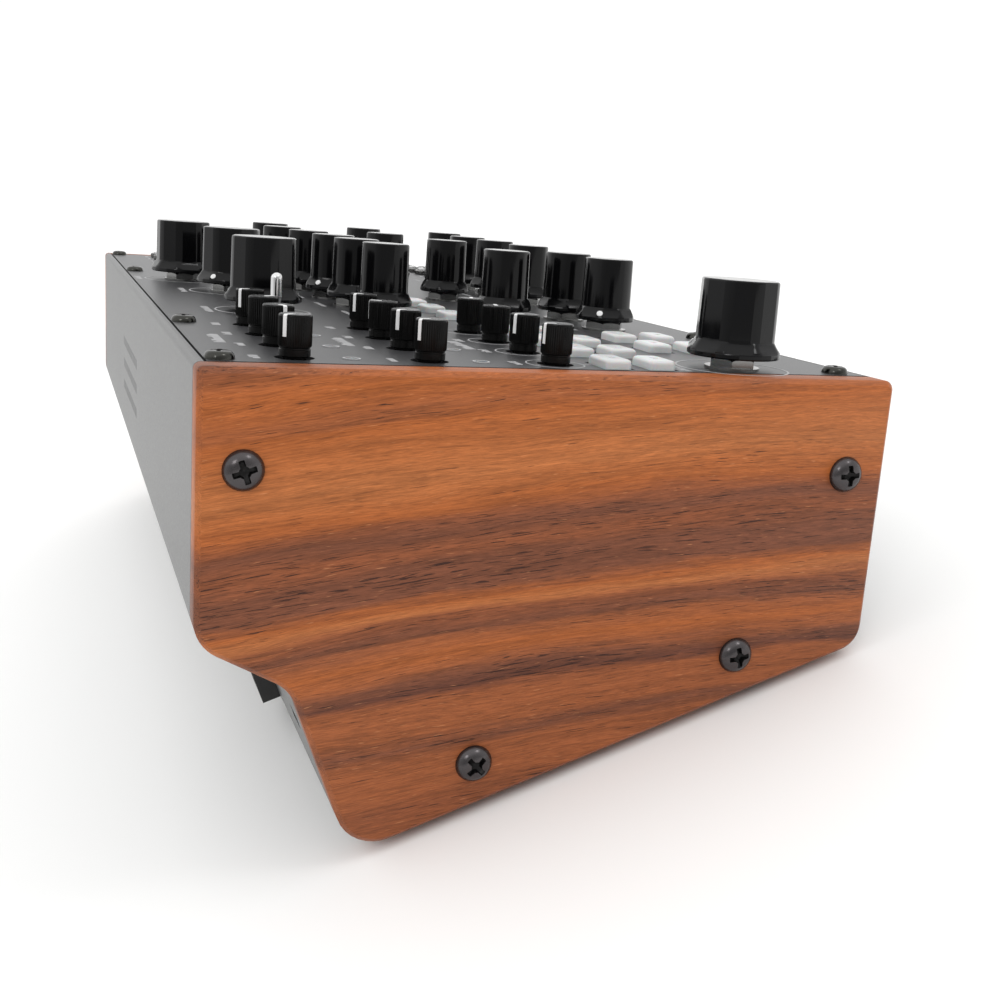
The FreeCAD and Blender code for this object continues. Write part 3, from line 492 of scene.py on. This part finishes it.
def cross_screw(radius, height, reach, squareness):
    """A pan head with a tapered cross recess, whose faces are painted dark as shade, and its shank,
    the head standing on z 0.
    """
    depth = 0.75 * height
    top_half = 0.24 * reach
    low_half = 0.17 * reach
    hub = 0.42 * reach
    between = 6

    def dome(r):
        return height * max(1 - (r / radius) ** squareness, 0.0) ** 0.6

    def quadrant(r):
        wide = math.asin(min(top_half / r, 0.62))
        narrow = math.asin(min(low_half / r, 0.5))
        gap = (math.pi / 2 - 2 * wide) / between
        middle = [wide + gap * k for k in range(between + 1)]
        return [0.0, narrow] + middle + [math.pi / 2 - narrow]

    def row(r, cut="nothing"):
        points = []
        samples = quadrant(max(r, hub))
        for turn in range(4):
            for k, offset in enumerate(samples):
                in_arm = k < 2 or k == len(samples) - 1
                z = dome(r)
                if cut == "all" or (cut == "arms" and in_arm):
                    z = dome(0) - depth * (1.15 - 0.75 * r / reach)
                angle = turn * math.pi / 2 + offset
                points.append((-r * math.sin(angle), r * math.cos(angle), z))
        return points

    shank = row(0.45 * radius)
    rings = [
        [(x, y, -3.5 * height) for x, y, z in shank],
        [(x, y, 0.0) for x, y, z in shank],
        [(x, y, 0.0) for x, y, z in row(radius)],
    ]
    for share in (0.995, 0.975, 0.94, 0.88, 0.8, 0.7):
        rings.append(row(share * radius))
    rings.append(row(reach))
    for share in (0.9, 0.65, 0.5):
        rings.append(row(share * reach, "arms"))
    rings.append(row(hub, "all"))
    rings.append(row(0.12 * reach, "all"))
    shape = Shape()
    shape.loft(rings)
    # The recess's faces take the second material: painted shade.
    for number, corners in enumerate(shape.faces):
        middle = sum((Vector(shape.points[k]) for k in corners), Vector()) / len(corners)
        away = math.hypot(middle.x, middle.y)
        if away < reach and middle.z < dome(away) - 0.1 * height:
            shape.paints[number] = 1
    return shape


def moved_ring(angles, centre, radius, height):
    """A ring of points round a centre."""
    return [(x + centre[0], y + centre[1], z) for x, y, z in ring(angles, radius, height)]


def hex_nut(shape, centre, low, across_corners, height, bore):
    """A six-sided nut with chamfered corners, standing on a washer or on the panel."""
    high = low + height
    corner = across_corners / 2
    outline = sided(6, corner * math.cos(math.pi / 6), corner)
    angles = ridge_angles(6, 2.5)
    flat = corner * 0.9

    def bevel(radius):
        return high - max(radius - flat, 0.0) * 0.7

    shape.hoop([
        moved_ring(angles, centre, bore, low),
        moved_ring(angles, centre, outline, low),
        moved_ring(angles, centre, outline, bevel),
        moved_ring(angles, centre, flat * 0.97, high),
        moved_ring(angles, centre, bore + 0.25, high),
        moved_ring(angles, centre, bore, high - 0.2),
    ])


def knurled_nut(shape, centre, radius, height, bore):
    """A round nut with a knurled edge, round a socket's collar."""
    teeth = 24
    angles = even_angles(teeth * 2)

    def toothed(angle):
        return radius - 0.12 + 0.12 * math.cos(teeth * angle)

    profile = [
        (bore, 0.0),
        (radius - 0.3, 0.0),
        (toothed, 0.25),
        (toothed, height - 0.3),
        (radius - 0.35, height),
        (bore + 0.3, height),
        (bore, height - 0.2),
    ]
    shape.hoop([moved_ring(angles, centre, outline, z) for outline, z in profile])


# ---------------------------------------------------------------- materials


class Look:
    """A material being made: its Principled shader and the nodes that feed it."""

    def __init__(self, name, **values):
        self.material = bpy.data.materials.new(name)
        self.material.use_nodes = True
        self.tree = self.material.node_tree
        self.shader = self.tree.nodes["Principled BSDF"]
        for socket, value in values.items():
            self.shader.inputs[socket.replace("_", " ")].default_value = value
        self.place = self.tree.nodes.new("ShaderNodeTexCoord").outputs["Object"]

    def node(self, kind, inputs=(), **settings):
        """Adds a node; inputs are values or sockets for its sockets in order, by number or name."""
        node = self.tree.nodes.new("ShaderNode" + kind)
        for name, value in settings.items():
            setattr(node, name, value)
        for key, value in dict(inputs).items():
            if isinstance(value, bpy.types.NodeSocket):
                self.tree.links.new(value, node.inputs[key])
            else:
                node.inputs[key].default_value = value
        return node

    def math(self, operation, first, second=0.0, clamp=False):
        """One sum of two numbers."""
        node = self.node("Math", {0: first, 1: second}, operation=operation, use_clamp=clamp)
        return node.outputs[0]

    def scaled(self, value, factor, offset):
        """A number times a factor, plus an offset."""
        node = self.node("Math", {0: value, 1: factor, 2: offset}, operation="MULTIPLY_ADD")
        return node.outputs[0]

    def noise(self, scale, detail=2.0, roughness=0.5, place=None):
        """Noise from 0 to 1; scale is in cycles per metre."""
        values = {
            "Vector": place or self.place,
            "Scale": scale,
            "Detail": detail,
            "Roughness": roughness,
        }
        return self.node("TexNoise", values).outputs[0]

    def ramp(self, value, stops):
        """Colours, or grey levels, along a value; stops are (place, level or colour)."""
        node = self.node("ValToRGB", {0: value})
        elements = node.color_ramp.elements
        while len(elements) < len(stops):
            elements.new(0.5)
        for element, (place, colour) in zip(elements, stops):
            element.position = place
            shade = colour if isinstance(colour, tuple) else (colour,) * 3
            element.color = (*shade, 1.0)
        return node.outputs[0]

    def mix(self, factor, first, second, blend="MIX"):
        """Two colours mixed."""
        values = {0: factor}
        for key, colour in ((6, first), (7, second)):
            values[key] = (*colour, 1.0) if isinstance(colour, tuple) else colour
        node = self.node("Mix", values, data_type="RGBA", blend_type=blend)
        return node.outputs[2]

    def feed(self, socket, value):
        """Drives one of the shader's sockets."""
        self.tree.links.new(value, self.shader.inputs[socket])

    def bump(self, height, depth):
        """Relief of a height from 0 to 1 over a depth in millimetres."""
        node = self.node("Bump", {"Height": height, "Distance": depth * MM, "Strength": 1.0})
        self.feed("Normal", node.outputs[0])


def soft_metal(name, colour, roughness, grain, metallic=1.0, depth=0.01):
    """Plated or painted metal with a fine grain, whose size is in cycles per metre."""
    look = Look(name, Metallic=metallic, Specular_IOR_Level=0.5)
    fine = look.noise(grain, 3.0)
    wide = look.noise(grain * 0.05, 3.0)
    low = tuple(0.82 * c for c in colour)
    look.feed("Base Color", look.mix(look.ramp(wide, [(0.3, 0.0), (0.7, 1.0)]), low, colour))
    look.feed("Roughness", look.scaled(fine, 0.12, roughness - 0.06))
    look.bump(fine, depth)
    return look.material


def plastic(name, colour, roughness, grain, depth=0.01, specular=0.5, mottle=0.85):
    """Moulded plastic with a slight mottle and a fine moulded skin."""
    look = Look(name, Specular_IOR_Level=specular)
    fine = look.noise(grain, 2.0)
    wide = look.noise(grain * 0.06, 3.0)
    low = tuple(mottle * c for c in colour)
    look.feed("Base Color", look.mix(wide, low, colour))
    look.feed("Roughness", look.scaled(wide, 0.08, roughness - 0.04))
    look.bump(fine, depth)
    return look.material


def powder_coat():
    """Black powder coat: a fine pebbled skin that scatters light at low angles."""
    look = Look("case_black", Specular_IOR_Level=0.75)
    pebbles = look.noise(1500.0, 4.0, 0.75)
    clouds = look.noise(24.0, 3.0)
    base = look.mix(clouds, (0.06, 0.06, 0.06), (0.08, 0.08, 0.079))
    spots = look.ramp(pebbles, [(0.3, 0.35), (0.7, 1.8)])
    look.feed("Base Color", look.mix(0.8, base, spots, "MULTIPLY"))
    look.feed("Roughness", look.scaled(pebbles, 0.4, 0.18))
    look.bump(pebbles, 0.05)
    return look.material


def panel_paint():
    """The panel's satin charcoal paint, with fine metallic sparkle."""
    look = Look("panel_charcoal", Specular_IOR_Level=0.5)
    sparkle = look.noise(5200.0, 1.0)
    clouds = look.noise(30.0, 3.0)
    specks = look.ramp(sparkle, [(0.55, 0.0), (0.75, 1.0)])
    base = look.mix(clouds, (0.022, 0.022, 0.024), (0.03, 0.03, 0.032))
    look.feed("Base Color", look.mix(specks, base, (0.09, 0.09, 0.095)))
    look.feed("Roughness", look.scaled(sparkle, 0.12, 0.3))
    look.bump(sparkle, 0.006)
    return look.material


WOOD_ORANGE = (0.375, 0.104, 0.025)
WOOD_BRIGHT = (0.43, 0.14, 0.042)
WOOD_MEDIUM = (0.31, 0.092, 0.03)
WOOD_REDDISH = (0.25, 0.075, 0.028)
WOOD_BROWN = (0.18, 0.06, 0.029)
WOOD_DARK = (0.125, 0.042, 0.024)
WOOD_BANDS = [
    (0.0, WOOD_BROWN),
    (4.0, WOOD_MEDIUM),
    (7.5, WOOD_ORANGE),
    (12.0, WOOD_MEDIUM),
    (14.0, WOOD_ORANGE),
    (24.0, WOOD_BRIGHT),
    (29.0, WOOD_ORANGE),
    (31.5, WOOD_REDDISH),
    (34.0, WOOD_BROWN),
    (37.5, WOOD_REDDISH),
    (40.5, WOOD_BROWN),
    (44.0, WOOD_BROWN),
    (46.5, WOOD_ORANGE),
    (48.5, WOOD_BRIGHT),
    (50.5, WOOD_REDDISH),
    (53.0, WOOD_BROWN),
    (55.0, WOOD_MEDIUM),
    (58.0, WOOD_ORANGE),
    (60.5, WOOD_MEDIUM),
    (62.5, WOOD_BROWN),
    (64.0, WOOD_DARK),
    (66.0, WOOD_MEDIUM),
    (71.0, WOOD_MEDIUM),
    (73.5, WOOD_BROWN),
    (76.0, WOOD_MEDIUM),
    (82.0, WOOD_MEDIUM),
    (86.0, WOOD_REDDISH),
    (92.0, WOOD_MEDIUM),
    (98.0, WOOD_REDDISH),
    (104.0, WOOD_MEDIUM),
]
WOOD_SPAN = 110.0
WOOD_RISE = 0.166
WOOD_ARCH = -0.542
PORE_COLOUR = (0.028, 0.01, 0.007)
FLECK_COLOUR = (0.75, 0.33, 0.14)


def walnut():
    """Oiled veneer: bands that rise gently along the board, combed by fibres, with dark pores."""
    look = Look("walnut", Specular_IOR_Level=0.22)
    square = look.node("Mapping", {"Vector": look.place}, vector_type="TEXTURE")
    square.inputs["Location"].default_value = PANEL.translation
    square.inputs["Rotation"].default_value = PANEL.to_euler()
    apart = look.node("SeparateXYZ", {0: square.outputs[0]})
    across = apart.outputs[0]
    length = look.math("MULTIPLY", apart.outputs[1], -1.0)
    depth = look.math("MULTIPLY", apart.outputs[2], -1.0)
    slope = look.math("MULTIPLY", length, WOOD_RISE)
    arch = look.math("MULTIPLY", look.math("MULTIPLY", length, length), WOOD_ARCH)
    straight = look.math("ADD", depth, look.math("ADD", slope, arch))

    def along_grain(run, width, offset=0.0, of=straight):
        """Coordinates that are long down the board and narrow across it, in cycles per metre."""
        values = {
            0: look.scaled(length, run, offset),
            1: look.math("MULTIPLY", of, width),
            2: look.math("MULTIPLY", across, width),
        }
        return look.node("CombineXYZ", values).outputs[0]

    def nudged(of, noise, reach):
        """The grain coordinate pushed to and fro by a noise, over a reach in millimetres."""
        return look.math("ADD", of, look.scaled(noise, 2.0 * reach * MM, -reach * MM))

    def toned(colour, noise, stops, share):
        """A colour darkened and lightened by a noise."""
        return look.mix(share, colour, look.ramp(noise, stops), "MULTIPLY")

    grain = nudged(straight, look.noise(1.0, 3.0, 0.55, place=along_grain(13.0, 75.0)), 3.0)
    combed = nudged(grain, look.noise(1.0, 5.0, 0.7, place=along_grain(34.0, 480.0, 2.0)), 2.6)
    band = look.math("MULTIPLY", combed, 1.0 / (WOOD_SPAN * MM))
    shades = [(at / WOOD_SPAN, shade) for at, shade in WOOD_BANDS]
    colour = look.ramp(band, shades)
    darkness = look.ramp(band, [(at, 1.0 - min(shade[0] / 0.4, 1.0)) for at, shade in shades])

    broad = look.noise(1.0, 5.0, 0.65, place=along_grain(22.0, 420.0, 3.0, grain))
    colour = toned(colour, broad, [(0.32, 0.72), (0.5, 1.0), (0.7, 1.14)], 0.8)
    streaks = look.noise(1.0, 5.0, 0.7, place=along_grain(60.0, 1700.0, 9.0, grain))
    colour = toned(colour, streaks, [(0.34, 0.74), (0.5, 1.0), (0.66, 1.14)], 0.8)
    fibres = look.noise(1.0, 3.0, 0.6, place=along_grain(420.0, 7000.0, 5.0, grain))
    colour = toned(colour, fibres, [(0.3, 0.62), (0.7, 1.36)], 0.75)

    pores = look.noise(1.0, 2.0, 0.6, place=along_grain(150.0, 4300.0, 21.0, grain))
    clusters = look.noise(1.0, 2.0, 0.5, place=along_grain(30.0, 260.0, 13.0, grain))
    crowding = look.math("MULTIPLY", look.math("SUBTRACT", clusters, 0.5), 0.28)
    limit = look.math("SUBTRACT", look.scaled(darkness, -0.16, 0.705), crowding)
    pore = look.math("MULTIPLY", look.math("SUBTRACT", pores, limit), 30.0, clamp=True)
    colour = look.mix(look.math("MULTIPLY", pore, 0.85), colour, PORE_COLOUR)
    fleck_noise = look.noise(1.0, 1.0, 0.5, place=along_grain(330.0, 4200.0, 57.0, grain))
    fleck = look.ramp(fleck_noise, [(0.7, 0.0), (0.78, 1.0)])
    colour = look.mix(look.math("MULTIPLY", fleck, 0.4), colour, FLECK_COLOUR)
    look.feed("Base Color", colour)

    look.feed("Roughness", look.scaled(streaks, 0.16, 0.34))
    relief = look.math("SUBTRACT", look.math("MULTIPLY", fibres, 0.35), pore)
    look.bump(relief, 0.05)
    return look.material


def milky(name, colour, roughness):
    """Translucent white moulding, a little cloudy."""
    look = Look(name, Roughness=roughness, Subsurface_Weight=0.35, Subsurface_Scale=0.0015)
    clouds = look.noise(420.0, 3.0)
    low = tuple(0.9 * c for c in colour)
    look.feed("Base Color", look.mix(clouds, low, colour))
    look.bump(look.noise(2500.0, 2.0), 0.008)
    return look.material


def socket_look():
    """Patch socket: black plastic below the panel and a plated collar above it."""
    look = Look("socket_plastic", Specular_IOR_Level=0.5)
    normal = PANEL.to_3x3() @ Vector((0.0, 0.0, 1.0))
    dot = look.node("VectorMath", {0: look.place, 1: normal}, operation="DOT_PRODUCT")
    height = dot.outputs["Value"]
    level = normal.dot(PANEL.translation) - 0.0021
    plated = look.math("GREATER_THAN", height, level)
    haze = look.noise(900.0, 3.0)
    metal = look.mix(haze, (0.6, 0.6, 0.6), (0.75, 0.75, 0.76))
    moulded = look.mix(haze, (0.025, 0.025, 0.025), (0.035, 0.035, 0.035))
    look.feed("Base Color", look.mix(plated, moulded, metal))
    look.feed("Metallic", plated)
    look.feed("Roughness", look.scaled(plated, -0.25, 0.45))
    look.bump(haze, 0.008)
    return look.material


def circuit_board():
    """Lacquered green laminate with paler copper runs under the lacquer."""
    look = Look("board", Specular_IOR_Level=0.5, Roughness=0.3)
    bricks = look.node("TexBrick", {"Vector": look.place, "Scale": 90.0, "Mortar Size": 0.03})
    runs = bricks.outputs["Fac"]
    clouds = look.noise(60.0, 2.0)
    base = look.mix(clouds, (0.006, 0.05, 0.022), (0.01, 0.075, 0.03))
    look.feed("Base Color", look.mix(runs, base, (0.03, 0.13, 0.06)))
    look.bump(runs, 0.03)
    return look.material


case_black = powder_coat()
panel_charcoal = panel_paint()
wood = walnut()
black_screw = soft_metal("black_screws", (0.085, 0.078, 0.08), 0.24, 1800.0, 0.9, 0.004)
nickel_screw = soft_metal("dark_steel", (0.055, 0.055, 0.05), 0.2, 1800.0, 1.0, 0.003)
# Near-black for the screws' cross recesses: painted shade.
recess_painted_shade = soft_metal("screw_recess_painted_shade", (0.012, 0.011, 0.011), 0.4, 1800.0, 0.6, 0.006)
rubber = plastic("foot_rubber", (0.02, 0.02, 0.02), 0.75, 1400.0, 0.04, 0.3)
inlet_black = plastic("inlet_plastic", (0.018, 0.018, 0.018), 0.45, 1600.0, 0.02)
bright_nickel = soft_metal("nut_metal", (0.24, 0.24, 0.235), 0.2, 1500.0, 1.0, 0.004)
pot_black = plastic("pot_plastic", (0.03, 0.03, 0.032), 0.45, 900.0, 0.02)
switch_black = plastic("switch_plastic", (0.03, 0.03, 0.03), 0.5, 900.0, 0.02)
brass = soft_metal("spacer_brass", (0.62, 0.42, 0.14), 0.25, 1500.0)
steel = soft_metal("toggle_metal", (0.5, 0.5, 0.49), 0.3, 1500.0)
chrome = soft_metal("toggle_chrome", (0.7, 0.7, 0.7), 0.12, 1500.0, 1.0, 0.002)
knob_gloss = plastic("knob_black", (0.003, 0.003, 0.0035), 0.13, 1500.0, 0.0015, 0.2, 0.7)
step_gloss = plastic("step_knob_black", (0.004, 0.004, 0.004), 0.26, 2400.0, 0.004, 0.14, 0.7)
mark_white = plastic("pointer_white", (0.8, 0.8, 0.8), 0.4, 2000.0, 0.004, 0.4, 0.95)
button_milk = milky("button_clear", (0.62, 0.64, 0.64), 0.32)
window_milk = milky("button_window", (0.4, 0.42, 0.43), 0.22)
lamp_milk = milky("lamp_resin", (0.12, 0.12, 0.125), 0.25)
# Pale ink for the print, also used for the painted highlight rings round the lamps.
ink_and_lamp_highlight = plastic("panel_ink_and_lamp_highlight", (0.46, 0.46, 0.465), 0.5, 2600.0, 0.006, 0.3, 0.8)
rear_ink = plastic("rear_ink", (0.22, 0.22, 0.22), 0.6, 700.0, 0.01, 0.3, 0.7)
socket_black = socket_look()
board_green = circuit_board()

CAD_LOOKS = {
    "case_shell": case_black,
    "control_panel": panel_charcoal,
    "rubber_feet": rubber,
    "power_inlet": inlet_black,
    "control_board": board_green,
    "pot_bodies": pot_black,
    "patch_sockets": socket_black,
    "tact_switches": switch_black,
    "indicator_leds": lamp_milk,
    "board_spacers": brass,
    "toggle_body": steel,
    "toggle_lever": chrome,
}


def dress_cad_nodes():
    """Gives the CAD nodes that stay visible their own materials."""
    for name, material in CAD_LOOKS.items():
        slots = nodes[name].data.materials
        slots.clear()
        slots.append(material)


# ---------------------------------------------------------------- pieces


def add_piece(name, mesh, materials, place, body, replaced=()):
    """Puts a mesh in the scene on its CAD body."""
    if not mesh.materials:
        for material in materials:
            mesh.materials.append(material)
    piece = bpy.data.objects.new(name, mesh)
    bpy.context.scene.collection.objects.link(piece)
    piece.matrix_world = place
    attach(piece, body)
    if replaced:
        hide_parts(*replaced)


def on_panel(x, y, z=0.0, clockwise=0.0):
    """A place in the panel's frame, turned about the panel's normal."""
    turn = Matrix.Rotation(-math.radians(clockwise), 4, "Z")
    return PANEL @ Matrix.Translation(Vector((x, y, z)) * MM) @ turn


def add_cheeks():
    """The two wooden cheeks."""
    for name, side in (("left_end_cheek", -1), ("right_end_cheek", 1)):
        mesh = cheek_shape(side).mesh(name + "_board", 30.0, PANEL)
        add_piece(name + "_board", mesh, [wood], IN_PLACE, "case", [name])


def add_knobs():
    """The skirted knobs and the small fluted ones."""
    meshes = {}
    for size, radii in KNOB_SIZES.items():
        meshes[size] = faceted_knob(*radii).mesh(size + "_knob", 13.0)
    small = step_knob().mesh("small_knob", 30.0)
    for child in joints:
        if "knob" not in child:
            continue
        spot = place_of(child)
        place = on_panel(spot.x, spot.y, 0.0, pointer_of(child))
        name = child + "_cap"
        if child.startswith("step_knob"):
            looks = [step_gloss, mark_white]
            add_piece(name, small, looks, place, child, [child])
            continue
        size = "large" if child.endswith("knob") else "medium"
        looks = [knob_gloss, mark_white]
        add_piece(name, meshes[size], looks, place, child, [child])


def add_buttons():
    """The milky push button caps; a pair or row that is one CAD node is one piece."""
    for child in joints:
        if "button" not in child:
            continue
        shape = Shape()
        for low, high in solids_of(child):
            add_cap(shape, low, high)
        name = child + "_caps"
        looks = [button_milk, window_milk]
        mesh = shape.mesh(name, 50.0, PANEL)
        add_piece(name, mesh, looks, IN_PLACE, child, [child])


def add_cap(shape, low, high):
    """One cap over a CAD button, whose flange under the panel stays inside the CAD solid's box."""
    middle = (low + high) / 2
    cap = button_cap(CAP_LENGTH, CAP_WIDTH, low.z, high.z)
    shape.add(cap, middle.x, middle.y)


def add_cheek_screws():
    """Four black cross-head screws in each cheek."""
    mesh = cross_screw(*CHEEK_SCREW).mesh("cheek_screw", 35.0)
    looks = [black_screw, recess_painted_shade]
    for number, (low, high) in enumerate(solids_of("cheek_screws")):
        middle = (low + high) / 2
        on_left = middle.x < 0
        face = LEFT_FACE if on_left else RIGHT_FACE
        outwards = Matrix.Rotation(math.radians(-90 if on_left else 90), 4, "Y")
        turn = Matrix.Rotation(math.radians(CHEEK_SCREW_TURNS[number]), 4, "Z")
        place = on_panel(face, middle.y, middle.z) @ outwards @ turn
        name = f"cheek_screw_{number + 1}"
        add_piece(name, mesh, looks, place, "case", ["cheek_screws"])


def add_panel_screws():
    """The panel's glossy screws."""
    turns = random.Random(7)
    mesh = cross_screw(*PANEL_SCREW).mesh("panel_screw", 35.0)
    looks = [nickel_screw, recess_painted_shade]
    for number, (low, high) in enumerate(solids_of("panel_screws")):
        middle = (low + high) / 2
        place = on_panel(middle.x, middle.y, high.z - PANEL_SCREW[1], turns.uniform(0.0, 90.0))
        name = f"panel_screw_{number + 1}"
        add_piece(name, mesh, looks, place, "case", ["panel_screws"])


def add_nuts():
    """Washers and nuts round the controls' bushes and the sockets' collars."""
    shape = Shape()
    for low, high in solids_of("panel_nuts"):
        centre = ((low.x + high.x) / 2, (low.y + high.y) / 2)
        width = high.x - low.x
        if width > 10.0:
            shape.tube(centre, BUSH_HOLE, width / 2, 0.0, WASHER_HEIGHT)
            hex_nut(shape, centre, WASHER_HEIGHT, NUT_ACROSS, high.z - WASHER_HEIGHT, BUSH_HOLE)
        elif width > 8.3:
            hex_nut(shape, centre, 0.0, width, high.z, TOGGLE_HOLE)
        else:
            knurled_nut(shape, centre, width / 2, high.z, SOCKET_HOLE)
    mesh = shape.mesh("control_nuts", 30.0, PANEL)
    add_piece("control_nuts", mesh, [bright_nickel], IN_PLACE, "case", ["panel_nuts"])


# ---------------------------------------------------------------- printing, and the painted highlight rings round the lamps

letters = random.Random(11)


def add_label(shape, x, y, length, height=LABEL_HEIGHT):
    """A row of small blocks in place of lettering, centred on a point."""
    at = x - length / 2
    end = x + length / 2
    while at < end - 0.3:
        width = min(letters.uniform(0.55, 1.0), end - at)
        tall = height * letters.choice((1.0, 1.0, 0.72))
        low = (at, y - height / 2, 0.0)
        shape.box(low, (at + width, y - height / 2 + tall, PRINT_THICKNESS))
        at += width + letters.uniform(0.22, 0.5)


def add_ring(shape, x, y, radius, width=LINE_WIDTH):
    """A printed ring round a control."""
    shape.tube((x, y), radius - width / 2, radius + width / 2, 0.0, PRINT_THICKNESS, steps=72)


def add_line(shape, x0, y0, x1, y1, width=LINE_WIDTH):
    """A printed line along or down the panel."""
    low = (min(x0, x1) - width / 2, min(y0, y1) - width / 2, 0.0)
    high = (max(x0, x1) + width / 2, max(y0, y1) + width / 2, PRINT_THICKNESS)
    shape.box(low, high)


def add_print_and_lamp_highlights():
    """Rings, lines and unreadable labels round the controls, and pale rings round the lamps painted
    as highlight on their rims.
    """
    shape = Shape()
    rows = {1: 7.0, 2: 7.2, 3: 8.0}
    for child in joints:
        if "knob" not in child:
            continue
        spot = place_of(child)
        if child.startswith("step_knob"):
            row = int(child.split("_")[2])
            add_label(shape, spot.x, spot.y + rows[row], 4.2, 1.7)
            if row == 3:
                add_ring(shape, spot.x, spot.y, STEP_RING)
                add_line(shape, spot.x, spot.y - STEP_RING, spot.x, spot.y - 7.2)
        elif child.endswith("knob"):
            add_ring(shape, spot.x, spot.y, LARGE_RING, 1.5 * LINE_WIDTH)
            add_label(shape, spot.x, spot.y + 13.0, 13.0, 1.7)
        else:
            add_label(shape, spot.x, spot.y + 9.0, letters.uniform(7.0, 11.0))
    sequencer = place_of("step_knob_1_2").x + 8.6
    for row in (1, 2, 3):
        spot = place_of(f"step_knob_{row}_2")
        add_label(shape, sequencer, spot.y + 10.2, 13.0, 2.2)
    # Pale rings as tall as the lamps: painted highlight on their rims.
    for low, high in solids_of("indicator_leds"):
        middle = (low + high) / 2
        shape.tube((middle.x, middle.y), LAMP_RIM_HIGHLIGHT[0], LAMP_RIM_HIGHLIGHT[1], 0.0, high.z + 0.03)
    for low, high in solids_of("patch_sockets"):
        middle = (low + high) / 2
        add_label(shape, middle.x, middle.y + 5.6, letters.uniform(5.0, 8.0), 1.0)
    mesh = shape.mesh("panel_print_and_lamp_highlights", place=PANEL)
    add_piece("panel_print_and_lamp_highlights", mesh, [ink_and_lamp_highlight], IN_PLACE, "case")


def add_rear_print():
    """Pale unreadable marks on the rear wall."""
    shape = Shape()
    rear = max(high.y for low, high in solids_of("case_shell"))
    marks = random.Random(5)
    for row in range(3):
        at = -20.0
        height = -18.0 - 6.5 * row
        while at < 34.0:
            width = marks.uniform(2.0, 5.0)
            shape.box((at, rear - 0.3, height - 2.4), (at + width, rear + 0.03, height))
            at += width + marks.uniform(1.0, 2.0)
    mesh = shape.mesh("rear_print", place=PANEL)
    add_piece("rear_print", mesh, [rear_ink], IN_PLACE, "case")


# ---------------------------------------------------------------- stage, light and camera


CAMERA_PLACE = (-0.36093, 0.068294, 0.12918)
CAMERA_RIGHT = Vector((-0.33382, -0.91274, -0.23553))
CAMERA_UP = Vector((0.23731, -0.32319, 0.91610))
CAMERA_FORWARD = Vector((0.91228, -0.24991, -0.32449))
ROOM_BRIGHTNESS = 1.03
SUN_BRIGHTNESS = 0.85
FLOOR_HALF_WIDTH = 6000.0
WINDOW_WIDTH = 0.5
WINDOW_WATTS = 5.0


def make_camera():
    """The camera beside the left cheek, looking down along the panel."""
    data = bpy.data.cameras.new("camera")
    data.lens = 44.994
    data.sensor_width = 36.0
    data.clip_start = 0.01
    data.clip_end = 50.0
    turn = Matrix((CAMERA_RIGHT, CAMERA_UP, -CAMERA_FORWARD)).transposed().to_4x4()
    camera = bpy.data.objects.new("camera", data)
    camera.matrix_world = Matrix.Translation(CAMERA_PLACE) @ turn
    bpy.context.scene.collection.objects.link(camera)
    bpy.context.scene.camera = camera


def make_floor():
    """A wide pale floor."""
    half = FLOOR_HALF_WIDTH
    shape = Shape()
    shape.face(shape.loop([(-half, -half, 0), (half, -half, 0), (half, half, 0), (-half, half, 0)]))
    look = Look("floor_paper", Roughness=0.6, Specular_IOR_Level=0.2)
    clouds = look.noise(3.0, 2.0)
    look.feed("Base Color", look.mix(clouds, (0.885, 0.885, 0.878), (0.92, 0.918, 0.91)))
    floor = bpy.data.objects.new("floor", shape.mesh("floor"))
    floor.data.materials.append(look.material)
    bpy.context.scene.collection.objects.link(floor)


def make_world():
    """A white room, darker low down on the camera's side."""
    world = bpy.data.worlds.new("room")
    world.use_nodes = True
    tree = world.node_tree
    place = tree.nodes.new("ShaderNodeTexCoord")
    towards = tree.nodes.new("ShaderNodeVectorMath")
    towards.operation = "DOT_PRODUCT"
    towards.inputs[1].default_value = (-0.9, 0.25, -0.35)
    shade = tree.nodes.new("ShaderNodeValToRGB")
    elements = shade.color_ramp.elements
    elements[0].position = 0.1
    elements[0].color = (1.0, 1.0, 1.0, 1.0)
    elements[1].position = 0.75
    elements[1].color = (0.5, 0.5, 0.5, 1.0)
    tree.links.new(place.outputs["Generated"], towards.inputs[0])
    tree.links.new(towards.outputs["Value"], shade.inputs[0])
    tree.links.new(shade.outputs[0], tree.nodes["Background"].inputs[0])
    tree.nodes["Background"].inputs[1].default_value = ROOM_BRIGHTNESS
    bpy.context.scene.world = world


def make_lamp(name, place):
    """A square soft lamp aimed at the case."""
    data = bpy.data.lights.new(name, "AREA")
    data.size = WINDOW_WIDTH
    data.energy = WINDOW_WATTS
    lamp = bpy.data.objects.new(name, data)
    lamp.location = place
    aim = Vector((0.0, 0.0, 0.05)) - Vector(place)
    lamp.rotation_euler = aim.to_track_quat("-Z", "Y").to_euler()
    bpy.context.scene.collection.objects.link(lamp)


def make_sun():
    """A very wide overhead light, so that the floor is as bright far away as near."""
    data = bpy.data.lights.new("overhead", "SUN")
    data.energy = SUN_BRIGHTNESS
    data.angle = math.radians(120.0)
    lamp = bpy.data.objects.new("overhead", data)
    lamp.rotation_euler = (0.0, math.radians(8.0), 0.0)
    bpy.context.scene.collection.objects.link(lamp)


make_camera()
make_floor()
make_world()
make_sun()
make_lamp("window_left", (-1.6, 0.9, 1.6))
make_lamp("window_front", (-1.2, -1.6, 1.8))
bpy.context.scene.view_settings.view_transform = "Standard"

dress_cad_nodes()
add_cheeks()
add_knobs()
add_buttons()
add_cheek_screws()
add_panel_screws()
add_nuts()
add_print_and_lamp_highlights()
add_rear_print()
